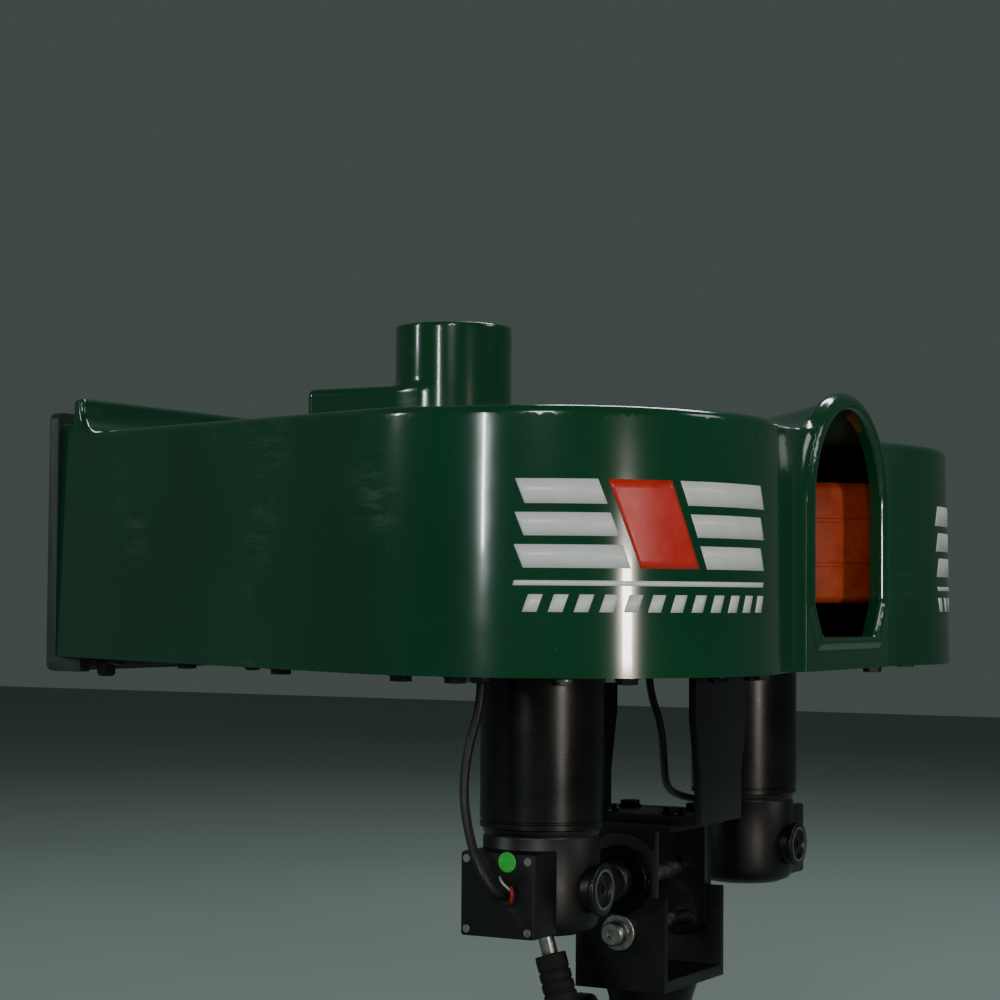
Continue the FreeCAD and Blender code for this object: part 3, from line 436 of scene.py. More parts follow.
def finish(name, tones, grain, rough, bump=(0.0, 1.0), speck=None, stretch=(1, 1, 1), **shader):
    # tones: darker to lighter hex; grain: size of the colour drift in mm; rough: lowest and highest
    # roughness; bump: depth in mm and its size in mm; speck: (size in mm, share, hex) for dust or flecks
    material, tree, bsdf, coords = newMaterial(name, **shader)
    spread = addNode(tree, "ShaderNodeMapping", {"Vector": coords, "Scale": stretch}).outputs["Vector"]
    drift = addNode(tree, "ShaderNodeTexNoise", {
        "Vector": spread, "Scale": 1000 / grain, "Detail": 5.0, "Roughness": 0.6}).outputs["Fac"]
    places = [0.3 + 0.4 * k / max(1, len(tones) - 1) for k in range(len(tones))]
    colour = ramp(tree, drift, list(zip(places, tones)))
    fine = addNode(tree, "ShaderNodeTexNoise", {
        "Vector": spread, "Scale": 1000 / bump[1], "Detail": 3.0}).outputs["Fac"]
    roughness = addNode(tree, "ShaderNodeMapRange", {
        "Value": drift, "From Min": 0.3, "From Max": 0.7, "To Min": rough[0], "To Max": rough[1]}).outputs["Result"]
    if speck:
        size, share, speckColour = speck
        cells = addNode(tree, "ShaderNodeTexVoronoi", {"Vector": coords, "Scale": 1000 / size}).outputs["Distance"]
        dot = addNode(tree, "ShaderNodeMapRange", {
            "Value": cells, "From Min": share, "From Max": share * 0.6, "To Min": 0.0, "To Max": 1.0,
        }).outputs["Result"]
        colour = addNode(tree, "ShaderNodeMixRGB", {
            "Fac": dot, "Color1": colour, "Color2": linear(speckColour)}).outputs["Color"]
        roughness = addNode(tree, "ShaderNodeMath", {0: roughness, 1: dot}, operation="MAXIMUM").outputs["Value"]
    tree.links.new(colour, bsdf.inputs["Base Color"])
    tree.links.new(roughness, bsdf.inputs["Roughness"])
    if bump[0]:
        relief = addNode(tree, "ShaderNodeBump", {"Height": fine, "Strength": 0.6, "Distance": bump[0] * mm})
        tree.links.new(relief.outputs["Normal"], bsdf.inputs["Normal"])
    return material


# glossy pigmented gel coat over glass fibre: deep bottle green, long soft ripples, dust and rubbed swirls
gelCoat, tree, bsdf, coords = newMaterial("bottle_green_gel_coat", **{"Coat Weight": 0.6, "Coat Roughness": 0.05})
tint = addNode(tree, "ShaderNodeTexNoise", {"Vector": coords, "Scale": 7.0, "Detail": 3.0}).outputs["Fac"]
green = ramp(tree, tint, [(0.3, "#044026"), (0.7, "#064a2d")])
swirlSpace = addNode(tree, "ShaderNodeMapping", {
    "Vector": coords, "Rotation": (0.45, 0.0, 0.0), "Scale": (1.0, 2.2, 12.0)}).outputs["Vector"]
swirl = addNode(tree, "ShaderNodeTexNoise", {
    "Vector": swirlSpace, "Scale": 7.0, "Detail": 9.0, "Roughness": 0.74}).outputs["Fac"]
patches = addNode(tree, "ShaderNodeTexNoise", {"Vector": coords, "Scale": 7.5, "Detail": 2.0}).outputs["Fac"]
patch = addNode(tree, "ShaderNodeMapRange", {"Value": patches, "From Min": 0.58, "From Max": 0.78}).outputs["Result"]
streak = addNode(tree, "ShaderNodeMapRange", {"Value": swirl, "From Min": 0.5, "From Max": 0.74}).outputs["Result"]
rubbed = addNode(tree, "ShaderNodeMath", {0: patch, 1: streak}, operation="MULTIPLY").outputs["Value"]
specks = addNode(tree, "ShaderNodeTexVoronoi", {"Vector": coords, "Scale": 95.0}).outputs["Distance"]
dust = addNode(tree, "ShaderNodeMapRange", {
    "Value": specks, "From Min": 0.062, "From Max": 0.03, "To Min": 0.0, "To Max": 0.5}).outputs["Result"]
marks = addNode(tree, "ShaderNodeMath", {0: rubbed, 1: dust}, operation="MAXIMUM").outputs["Value"]
marksColour = addNode(tree, "ShaderNodeMath", {0: marks, 1: 0.26}, operation="MULTIPLY").outputs["Value"]
green = addNode(tree, "ShaderNodeMixRGB", {
    "Fac": marksColour, "Color1": green, "Color2": linear("#8fa79b")}).outputs["Color"]
tree.links.new(green, bsdf.inputs["Base Color"])
tree.links.new(addNode(tree, "ShaderNodeMapRange", {
    "Value": marks, "To Min": 0.16, "To Max": 0.5}).outputs["Result"], bsdf.inputs["Roughness"])
ripple = addNode(tree, "ShaderNodeTexNoise", {"Vector": coords, "Scale": 26.0, "Detail": 1.0}).outputs["Fac"]
tree.links.new(addNode(tree, "ShaderNodeBump", {
    "Height": ripple, "Strength": 0.35, "Distance": 0.5 * mm}).outputs["Normal"], bsdf.inputs["Normal"])

# cut edge of the moulding: bare glass fibre and resin, brown-grey, chalky
rawEdge = finish("cut_glass_fibre_edge", ("#4d4a42", "#6a6558", "#7c776b"), 9, (0.6, 0.85), (0.3, 1.5))
# inside of the moulding: matt flow-coated green with fibre print
flowCoat = finish("flow_coated_inside", ("#0b3524", "#104531"), 25, (0.45, 0.7), (0.5, 4))
# satin black powder coat: fine pebbling, a little dust on it
blackPowder = finish("satin_black_powder_coat", ("#060708", "#0b0c0d"), 40, (0.34, 0.48), (0.12, 1.4),
                     speck=(9, 0.05, "#4a4d4c"))
# black stoving enamel on the motor cans: smoother and shinier, with faint handling marks
motorEnamel = finish("black_stoving_enamel", ("#040505", "#090a0a"), 55, (0.22, 0.36), (0.06, 3),
                     speck=(11, 0.045, "#3c3f3e"))
# zinc-plated steel: pale grey with a blue-yellow drift
zincSteel = finish("zinc_plated_steel", ("#8d9092", "#a9a9a2", "#b9bcbe"), 5, (0.28, 0.45), (0.04, 1.2), Metallic=1.0)
# oil-blacked steel: nearly black, with a dull shine
oiledSteel = finish("oil_blacked_steel", ("#1c1d1f", "#2a2b2d"), 6, (0.3, 0.46), (0.04, 1.0), Metallic=1.0)
# ground steel: drawn along the machine's height
brightSteel = finish("ground_steel", ("#7f8284", "#a4a6a8"), 3, (0.18, 0.34), (0.03, 0.8), stretch=(1, 1, 0.1),
                     Metallic=1.0)
# sintered bronze: brown-gold, open pores
bronze = finish("sintered_bronze", ("#7b5a34", "#9a7646"), 3, (0.35, 0.5), (0.05, 0.7), Metallic=1.0)
# moulded black nylon: satin, slightly uneven
blackNylon = finish("moulded_black_nylon", ("#0d0e0f", "#17181a"), 18, (0.3, 0.46), (0.08, 1.1))
# black rubber: matt, dusty in the hollows
rubber = finish("black_rubber", ("#0e0e0e", "#1b1b1a"), 12, (0.62, 0.85), (0.15, 1.6), speck=(6, 0.06, "#5b5b57"))
# soft vinyl cable sheath: dull sheen
sheath = finish("soft_vinyl_sheath", ("#0c0d0e", "#161718"), 14, (0.4, 0.55), (0.05, 2))
# cast orange polyurethane: waxy, scuffed by balls
orangeTyre, tree, bsdf, coords = newMaterial("cast_orange_polyurethane", **{
    "Subsurface Weight": 0.08, "Subsurface Scale": 0.004})
worn = addNode(tree, "ShaderNodeTexNoise", {
    "Vector": coords, "Scale": 38.0, "Detail": 6.0, "Roughness": 0.68}).outputs["Fac"]
tree.links.new(ramp(tree, worn, [(0.3, "#b9380f"), (0.5, "#d24a18"), (0.72, "#dd6a3a")]), bsdf.inputs["Base Color"])
tree.links.new(addNode(tree, "ShaderNodeMapRange", {
    "Value": worn, "From Min": 0.3, "From Max": 0.7, "To Min": 0.38, "To Max": 0.66}).outputs["Result"],
    bsdf.inputs["Roughness"])
scuff = addNode(tree, "ShaderNodeTexNoise", {"Vector": coords, "Scale": 420.0, "Detail": 2.0}).outputs["Fac"]
tree.links.new(addNode(tree, "ShaderNodeBump", {
    "Height": scuff, "Strength": 0.5, "Distance": 0.2 * mm}).outputs["Normal"], bsdf.inputs["Normal"])
# sand-cast aluminium, bead blasted: dull silver, grainy
castAluminium = finish("bead_blasted_cast_aluminium", ("#85888a", "#9c9fa0"), 7, (0.42, 0.58), (0.12, 1.1),
                       Metallic=1.0)
# rolled aluminium plate: bright, drawn from front to back
plateAluminium = finish("mill_finish_plate", ("#8e9193", "#a8abac"), 3, (0.26, 0.4), (0.03, 0.8),
                        stretch=(1, 0.06, 1), Metallic=1.0)
# grey-green moulded panel: satin, chalked a little along the edges
greyMoulding = finish("grey_green_moulded_panel", ("#263630", "#2e403a"), 30, (0.42, 0.6), (0.12, 2.2),
                      speck=(8, 0.06, "#8b9890"))
# control plate: anodised grey aluminium
anodised = finish("grey_anodised_plate", ("#2c3130", "#353b39"), 12, (0.36, 0.48), (0.03, 0.9), Metallic=0.7)
# the chute's dark polyethylene: waxy, scored along the ball's path
chutePlastic = finish("dark_polyethylene", ("#1a1c1d", "#262929"), 16, (0.42, 0.58), (0.1, 3))
# cut vinyl film: white and signal red, a soft gloss with tiny bubbles
whiteFilm = finish("white_cut_vinyl", ("#dfe5e3", "#eef2f1"), 20, (0.3, 0.42), (0.03, 5), **{"Coat Weight": 0.2})
redFilm = finish("red_cut_vinyl", ("#c4211a", "#d93324"), 20, (0.3, 0.42), (0.03, 5), **{"Coat Weight": 0.2})
# round paper inspection dot: flat bright green
greenDot = finish("green_paper_dot", ("#22b536", "#39cf46"), 4, (0.5, 0.65), (0.04, 1.5))
# tinned wire and red lead ends at the motor
redLead = finish("red_vinyl_lead", ("#a3160f", "#b82418"), 6, (0.35, 0.5), (0.03, 2))
paleLead = finish("grey_vinyl_lead", ("#9a9d9b", "#b7bab8"), 6, (0.35, 0.5), (0.03, 2))
print("finishes mixed")


# geometry nodes: bolts at points, ribs round a ring

def treeFor(name, inputs):
    tree = bpy.data.node_groups.new(name, "GeometryNodeTree")
    tree.interface.new_socket("Geometry", in_out="INPUT", socket_type="NodeSocketGeometry")
    tree.interface.new_socket("Geometry", in_out="OUTPUT", socket_type="NodeSocketGeometry")
    for label, kind in inputs:
        tree.interface.new_socket(label, in_out="INPUT", socket_type=f"NodeSocket{kind}")
    return tree, addNode(tree, "NodeGroupInput").outputs


def endTree(tree, instances, material):
    real = addNode(tree, "GeometryNodeRealizeInstances", {"Geometry": instances}).outputs["Geometry"]
    done = addNode(tree, "GeometryNodeSetMaterial", {"Geometry": real, "Material": material}).outputs["Geometry"]
    addNode(tree, "NodeGroupOutput", {"Geometry": done})


def grown(name, points, tree, values):
    # a tree run on a handful of points, then turned into plain mesh
    mesh = bpy.data.meshes.new(name)
    mesh.from_pydata([tuple(p) for p in points], [], [])
    piece = bpy.data.objects.new(name, mesh)
    bpy.context.collection.objects.link(piece)
    modifier = piece.modifiers.new("grow", "NODES")
    modifier.node_group = tree
    for item in tree.interface.items_tree:
        if item.in_out == "INPUT" and item.name in values:
            modifier[item.identifier] = values[item.name]
    baked(piece)
    piece.data.set_sharp_from_angle(angle=math.radians(28))
    return piece


boltTree, given = treeFor("hex_bolt_at_points", [
    ("Head", "Float"), ("Height", "Float"), ("Washer", "Float"), ("Facing", "Vector"), ("Finish", "Material")])
hexHead = addNode(boltTree, "GeometryNodeMeshCylinder", {
    "Vertices": 6, "Radius": given["Head"], "Depth": given["Height"]}).outputs["Mesh"]
halfUp = addNode(boltTree, "ShaderNodeMath", {0: given["Height"], 1: 0.5}, operation="MULTIPLY").outputs["Value"]
headAt = addNode(boltTree, "ShaderNodeCombineXYZ", {"Z": halfUp}).outputs["Vector"]
hexHead = addNode(boltTree, "GeometryNodeTransform", {"Geometry": hexHead, "Translation": headAt}).outputs["Geometry"]
crownRadius = addNode(boltTree, "ShaderNodeMath", {0: given["Head"], 1: 0.84}, operation="MULTIPLY").outputs["Value"]
crown = addNode(boltTree, "GeometryNodeMeshCone", {
    "Vertices": 32, "Radius Bottom": crownRadius, "Radius Top": 0.003, "Depth": 0.0005}).outputs["Mesh"]
crownAt = addNode(boltTree, "ShaderNodeCombineXYZ", {"Z": given["Height"]}).outputs["Vector"]
crown = addNode(boltTree, "GeometryNodeTransform", {"Geometry": crown, "Translation": crownAt}).outputs["Geometry"]
washer = addNode(boltTree, "GeometryNodeMeshCylinder", {
    "Vertices": 32, "Radius": given["Washer"], "Depth": 0.0016}).outputs["Mesh"]
washer = addNode(boltTree, "GeometryNodeTransform", {
    "Geometry": washer, "Translation": (0, 0, 0.0008)}).outputs["Geometry"]
whole = addNode(boltTree, "GeometryNodeJoinGeometry")
for part in (hexHead, crown, washer):
    boltTree.links.new(part, whole.inputs["Geometry"])
facing = addNode(boltTree, "FunctionNodeAlignRotationToVector", {
    "Vector": given["Facing"]}, axis="Z").outputs["Rotation"]
spots = addNode(boltTree, "GeometryNodeInstanceOnPoints", {
    "Points": given["Geometry"], "Instance": whole.outputs["Geometry"], "Rotation": facing}).outputs["Instances"]
endTree(boltTree, spots, given["Finish"])

ribTree, given = treeFor("ribs_round_a_ring", [
    ("Count", "Int"), ("Radius", "Float"), ("Rib", "Vector"), ("Finish", "Material")])
ring = addNode(ribTree, "GeometryNodeMeshCircle", {
    "Vertices": given["Count"], "Radius": given["Radius"]}).outputs["Mesh"]
rib = addNode(ribTree, "GeometryNodeMeshCube", {"Size": given["Rib"]}).outputs["Mesh"]
outAlong = addNode(ribTree, "GeometryNodeInputPosition").outputs["Position"]
ribTurn = addNode(ribTree, "FunctionNodeAlignRotationToVector", {"Vector": outAlong}, axis="X").outputs["Rotation"]
ribs = addNode(ribTree, "GeometryNodeInstanceOnPoints", {
    "Points": ring, "Instance": rib, "Rotation": ribTurn}).outputs["Instances"]
endTree(ribTree, ribs, given["Finish"])


def bolts(name, spots, facing, material, head=0.008, height=0.0055, washer=0.0095):
    return grown(name, spots, boltTree, {
        "Head": head, "Height": height, "Washer": washer, "Facing": facing, "Finish": material})


def ribsRound(name, at, axis, count, radius, rib, material):
    # ribs (radial, around, along) in mm on a ring of the given radius
    piece = grown(name, [(0, 0, 0)], ribTree, {
        "Count": count, "Radius": radius * mm, "Rib": [n * mm for n in rib], "Finish": material})
    piece.data.transform(Matrix.Translation(at) @ turnTo[axis].to_4x4())
    return piece


def refined(name, nodes, material, edge, segments=2, angle=35):
    # the CAD shape as one clean mesh, its edges softened by edge mm
    copies = []
    for node in nodes:
        work = bmesh.new()
        work.from_mesh(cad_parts[node].data)
        bmesh.ops.remove_doubles(work, verts=work.verts, dist=0.00001)
        bmesh.ops.dissolve_limit(work, angle_limit=math.radians(1), verts=work.verts, edges=work.edges)
        mesh = bpy.data.meshes.new(node)
        work.to_mesh(mesh)
        work.free()
        copy = ownPiece(node + "_softened", mesh, material)
        copies.append(bevelled(copy, edge * mm, segments, angle))
    return joined(name, copies) if len(copies) > 1 else renamed(copies[0], name)


def renamed(piece, name):
    piece.name = name
    return piece


# the moulded hood

hood = {
    "height": 187, "slope": 0.02, "draft": 0.0192, "wall": 3.5, "fold": 6,
    "lobeSide": 196, "lobeForward": 7, "lobeRadius": 169.93, "rearHalf": 126, "rearEnd": 520,
    "lipMiddle": 494.5, "lipHalf": 8.5, "lipTop": 227, "shoulderFrom": 500, "shoulderTop": 206, "cove": 26,
    "exitFace": 175, "exitHalf": 90.5, "exitLow": 14, "exitTop": 219, "corner": 34, "bead": 8.6,
    "mouthHalf": 74.5, "mouthLow": 26, "mouthTop": 204, "mouthDeep": 24, "mouthEdge": 13, "mouthRound": 3,
    "fillTo": 166, "neckIn": 5, "ridgeFront": 163,
    "ridgeBack": 20, "ridgeHalf": 60, "ridgeTop": 183, "blend": 22, "mesh": 5.0,
}
lobeCentre = np.array([hood["lobeSide"], -hood["lobeForward"]])
toRear = np.array([hood["rearHalf"], hood["rearEnd"]]) - lobeCentre
wallTurn = math.atan2(toRear[1], toRear[0]) - math.acos(hood["lobeRadius"] / math.hypot(*toRear))
wallOut = np.array([math.cos(wallTurn), math.sin(wallTurn)])      # outwards from the long side wall
wallBack = np.array([-wallOut[1], wallOut[0]])                    # along it, to the rear


def arch(x, z, half, low, top, corner):
    spring = top - half
    side = np.abs(x)
    upper = np.hypot(side, z - spring) - half
    slant = 0.85 * (side - half) - 0.527 * (z - low - corner)
    lower = np.maximum(np.maximum(side - half, low - z), slant)
    return np.where(z > spring, upper, lower)


def hoodPlan(x, y, z):
    radius = hood["lobeRadius"] + hood["draft"] * (hood["height"] - z)
    u, v = np.abs(x) - lobeCentre[0], y - lobeCentre[1]
    lobe = np.hypot(u, v) - radius
    side = u * wallOut[0] + v * wallOut[1] - radius
    outline = np.where(u * wallBack[0] + v * wallBack[1] > 0, side, lobe)
    middle = np.maximum(np.maximum(-hood["fillTo"] - y, np.abs(x) - 190), y - 100)
    return blendEither(outline, middle, 14)


def hoodBody(x, y, z):
    roof = z - hood["height"] - hood["slope"] * np.maximum(y + hood["lobeForward"], 0)
    lip = roundBoth(np.abs(y - hood["lipMiddle"]) - hood["lipHalf"], z - hood["lipTop"], 4.5)
    shoulder = roundBoth(hood["shoulderFrom"] - y, z - hood["shoulderTop"], 3)
    top = np.minimum(blendEither(roof, lip, hood["cove"]), shoulder)
    return roundBoth(hoodPlan(x, y, z), top, hood["fold"])


def hoodField(x, y, z):
    h = hood
    body = hoodBody(x, y, z)
    share = np.clip((h["ridgeFront"] + y) / (h["ridgeFront"] - h["ridgeBack"]), 0, 1)
    half = h["exitHalf"] - h["neckIn"] + (h["ridgeHalf"] - h["exitHalf"]) * share
    top = h["exitTop"] - h["neckIn"] + (h["ridgeTop"] - h["exitTop"]) * share
    ridge = np.maximum(arch(x, z, half, -60, top, h["corner"]), np.maximum(
        -h["ridgeFront"] - 5 - y, y + h["ridgeBack"]))
    body = blendEither(body, ridge, h["blend"])
    rim = arch(x, z, h["exitHalf"], h["exitLow"], h["exitTop"], h["corner"])
    bead = np.hypot(rim + h["bead"], y + h["exitFace"] - h["bead"]) - h["bead"]
    body = blendEither(body, bead, 1.5)
    mouth = np.maximum(
        arch(x, z, h["mouthHalf"], h["mouthLow"], h["mouthTop"], h["corner"] - 4),
        y + h["exitFace"] - h["mouthDeep"])
    return roundBoth(body, -mouth, h["mouthRound"])


def shadeFrom(piece, field, base):
    # exact shading on the moulded face and its inside, flat on cut edges
    mesh = piece.data
    count = len(mesh.vertices)
    points = np.empty(count * 3)
    mesh.vertices.foreach_get("co", points)
    points = (points.reshape(-1, 3) - np.array(base)) / mm
    slope = slopeOf(field, points)
    corners = len(mesh.loops)
    vertexOf = np.empty(corners, np.int64)
    mesh.loops.foreach_get("vertex_index", vertexOf)
    faceNormals = np.empty(len(mesh.polygons) * 3)
    mesh.polygons.foreach_get("normal", faceNormals)
    faceNormals = faceNormals.reshape(-1, 3)
    sizes = np.empty(len(mesh.polygons), np.int64)
    mesh.polygons.foreach_get("loop_total", sizes)
    flat = np.repeat(faceNormals, sizes, axis=0)
    own = slope[vertexOf]
    along = (own * flat).sum(1)
    own = np.where((along < 0)[:, None], -own, own)
    own = np.where((np.abs(along) < 0.55)[:, None], flat, own)
    mesh.shade_smooth()
    mesh.normals_split_custom_set(own.tolist())
    return piece


def trimmed(piece, at, outwards):
    # cut flat at a point, keeping the side that outwards points away from
    work = bmesh.new()
    work.from_mesh(piece.data)
    bmesh.ops.bisect_plane(work, geom=work.verts[:] + work.edges[:] + work.faces[:], plane_co=at,
                           plane_no=outwards, clear_outer=True, dist=0.00001)
    work.to_mesh(piece.data)
    work.free()
    return piece


def thickened(piece, wall):
    modifier = piece.modifiers.new("wall", "SOLIDIFY")
    modifier.thickness = wall * mm
    modifier.offset = -1
    modifier.use_rim = True
    return baked(piece)


baseAt = (0, 0, hoodBase)
moulding = fieldPiece("moulding", hoodField, (-384, -194, -9), (384, 530, 236), hood["mesh"], gelCoat, baseAt, 2)
moulding = trimmed(moulding, (0, 0, hoodBase), (0, 0, -1))
moulding = trimmed(moulding, (0, hood["rearEnd"] * mm, 0), (0, 1, 0))
work = bmesh.new()
work.from_mesh(moulding.data)
pocket = []
for face in work.faces:
    x, y, z = (face.calc_center_median() - Vector(baseAt)) / mm
    within = arch(np.array(x), np.array(z), hood["mouthHalf"] + 2, hood["mouthLow"] - 2, hood["mouthTop"] + 2,
                  hood["corner"])
    if within < 0 and -hood["exitFace"] + 6 < y < hood["mouthDeep"] - hood["exitFace"] + 4:
        pocket.append(face)
edges = {edge for face in pocket for edge in face.edges}
verts = {vert for face in pocket for vert in face.verts}
bmesh.ops.bisect_plane(work, geom=list(verts) + list(edges) + pocket, dist=0.00001, clear_outer=True,
                       plane_co=(0, (hood["mouthEdge"] - hood["exitFace"]) * mm, 0), plane_no=(0, 1, 0))
work.to_mesh(moulding.data)
work.free()
for side, label in ((-1, "right"), (1, "left")):
    half = bpy.data.objects.new(f"{label}_hood_half", moulding.data.copy())
    bpy.context.collection.objects.link(half)
    half = thickened(trimmed(half, (0, 0, 0), (-side, 0, 0)), hood["wall"])
    mesh = half.data
    for material in (rawEdge, flowCoat):
        mesh.materials.append(material)
    middles = np.empty(len(mesh.polygons) * 3)
    mesh.polygons.foreach_get("center", middles)
    middles = (middles.reshape(-1, 3) - np.array(baseAt)) / mm
    faceSides = np.empty(len(mesh.polygons) * 3)
    mesh.polygons.foreach_get("normal", faceSides)
    faceSides = faceSides.reshape(-1, 3)
    cutFace = ((middles[:, 2] < 0.4) & (faceSides[:, 2] < -0.8)) | (
        (middles[:, 1] > hood["rearEnd"] - 0.4) & (faceSides[:, 1] > 0.8))
    inside = hoodField(*middles.T) < -2
    mesh.polygons.foreach_set("material_index", np.where(cutFace, 1, np.where(inside, 2, 0)).astype(np.int32))
    shadeFrom(half, hoodField, baseAt)
    give(half, "head", "green_gel", "hood_shell")
    print("hood moulded:", label, len(mesh.polygons), "faces")
bpy.data.objects.remove(moulding)


# feed tower

tower = {"back": 191.6, "radius": 50.4, "wall": 4, "top": 288.7, "plinthBack": 310.8, "plinthTop": 235.4,
         "corner": 5, "fillet": 16, "mesh": 2.0}


def towerField(x, y, z):
    t = tower
    reach = np.hypot(x, y - t["back"])
    tube = roundBoth(reach - t["radius"], z - t["top"], 2)
    middle = (t["back"] + t["plinthBack"]) / 2
    qx = np.abs(x) - t["radius"] + t["corner"]
    qy = np.abs(y - middle) - (t["plinthBack"] - t["back"]) / 2 + t["corner"]
    sides = np.hypot(np.maximum(qx, 0), np.maximum(qy, 0)) + np.minimum(np.maximum(qx, qy), 0) - t["corner"]
    plinth = roundBoth(sides, z - t["plinthTop"], 6)
    both = blendEither(tube, plinth, 8)
    both = blendEither(both, hoodBody(x, y, z), t["fillet"])
    bore = np.maximum(reach - t["radius"] + t["wall"], 196 - z)
    return roundBoth(both, -bore, 1.8)


feedTower = fieldPiece("feed_tower_moulding", towerField, (-70, 122, 180), (70, 330, 292), tower["mesh"], gelCoat,
                       baseAt)
work = bmesh.new()
work.from_mesh(feedTower.data)
spots = np.array([vert.co for vert in work.verts])
gap = hoodBody(*((spots - np.array(baseAt)) / mm).T)
reach = np.hypot(spots[:, 0] / mm, spots[:, 1] / mm - tower["back"])
spare = [vert for vert, g, r in zip(work.verts, gap, reach) if g < 0.12 and r > tower["radius"] - 3]
bmesh.ops.delete(work, geom=spare, context="VERTS")
work.to_mesh(feedTower.data)
work.free()
shadeFrom(feedTower, towerField, baseAt)
give(feedTower, "head", "green_gel", "feed_tower")
print("feed tower moulded")


# vinyl stripes on both lobes

def wallPoint(along, high, side, proud):
    # along the wall from where the lobe meets the long side (minus is forward), in mm
    radius = hood["lobeRadius"] + hood["draft"] * (hood["height"] - high) + proud
    if along < 0:
        turn = wallTurn + along / radius
        spot = lobeCentre + radius * np.array([math.cos(turn), math.sin(turn)])
    else:
        spot = lobeCentre + radius * wallOut + along * wallBack
    return (side * spot[0] * mm, spot[1] * mm, hoodBase + high * mm)


stripes = {
    # start, end along the wall; low, high; slant of both ends; finish
    "white": [(-350, -260, 119, 136, -7), (-350, -269, 97, 113, -6.6), (-350, -278, 75, 91, -6.6),
              (-198, -141, 119, 136, -7), (-207, -141, 97, 113, -6.6), (-216, -141, 75, 91, -6.6),
              (-352, -138, 63, 66.5, 1)]
    + [(-350 + 17.6 * k, -340 + 17.6 * k, 45, 57, 4) for k in range(12)],
    "red": [(-262, -214, 75, 136, -25)],
    "proud": 0.28,
}


def film(name, cuts, side, material):
    points, faces = [], []
    for start, end, low, high, slant in cuts:
        across = max(2, int((end - start) / 3))
        upward = max(2, int((high - low) / 6))
        first = len(points)
        for j in range(upward + 1):
            for i in range(across + 1):
                z = low + (high - low) * j / upward
                along = start + (end - start) * i / across + slant * (0.5 - j / upward)
                points.append(wallPoint(along, z, side, stripes["proud"]))
        for j in range(upward):
            for i in range(across):
                corner = first + j * (across + 1) + i
                quad = (corner, corner + 1, corner + across + 2, corner + across + 1)
                faces.append(quad if side > 0 else quad[::-1])
    piece = meshPiece(name, points, faces, material)
    work = bmesh.new()
    work.from_mesh(piece.data)
    for face in work.faces:
        middle = face.calc_center_median()
        outwardNow = Vector((middle.x - side * lobeCentre[0] * mm, middle.y - lobeCentre[1] * mm, 0))
        if face.normal.dot(outwardNow) < 0:
            face.normal_flip()
    work.to_mesh(piece.data)
    work.free()
    modifier = piece.modifiers.new("film", "SOLIDIFY")
    modifier.thickness = 0.12 * mm
    modifier.offset = 1
    return baked(piece)


for side, label in ((-1, "right"), (1, "left")):
    give(film(f"{label}_white_stripes", stripes["white"], side, whiteFilm), "head", "green_gel")
    give(film(f"{label}_red_flash", stripes["red"], side, redFilm), "head", "green_gel")
print("stripes cut")


# motors, seen from both sides of the middle

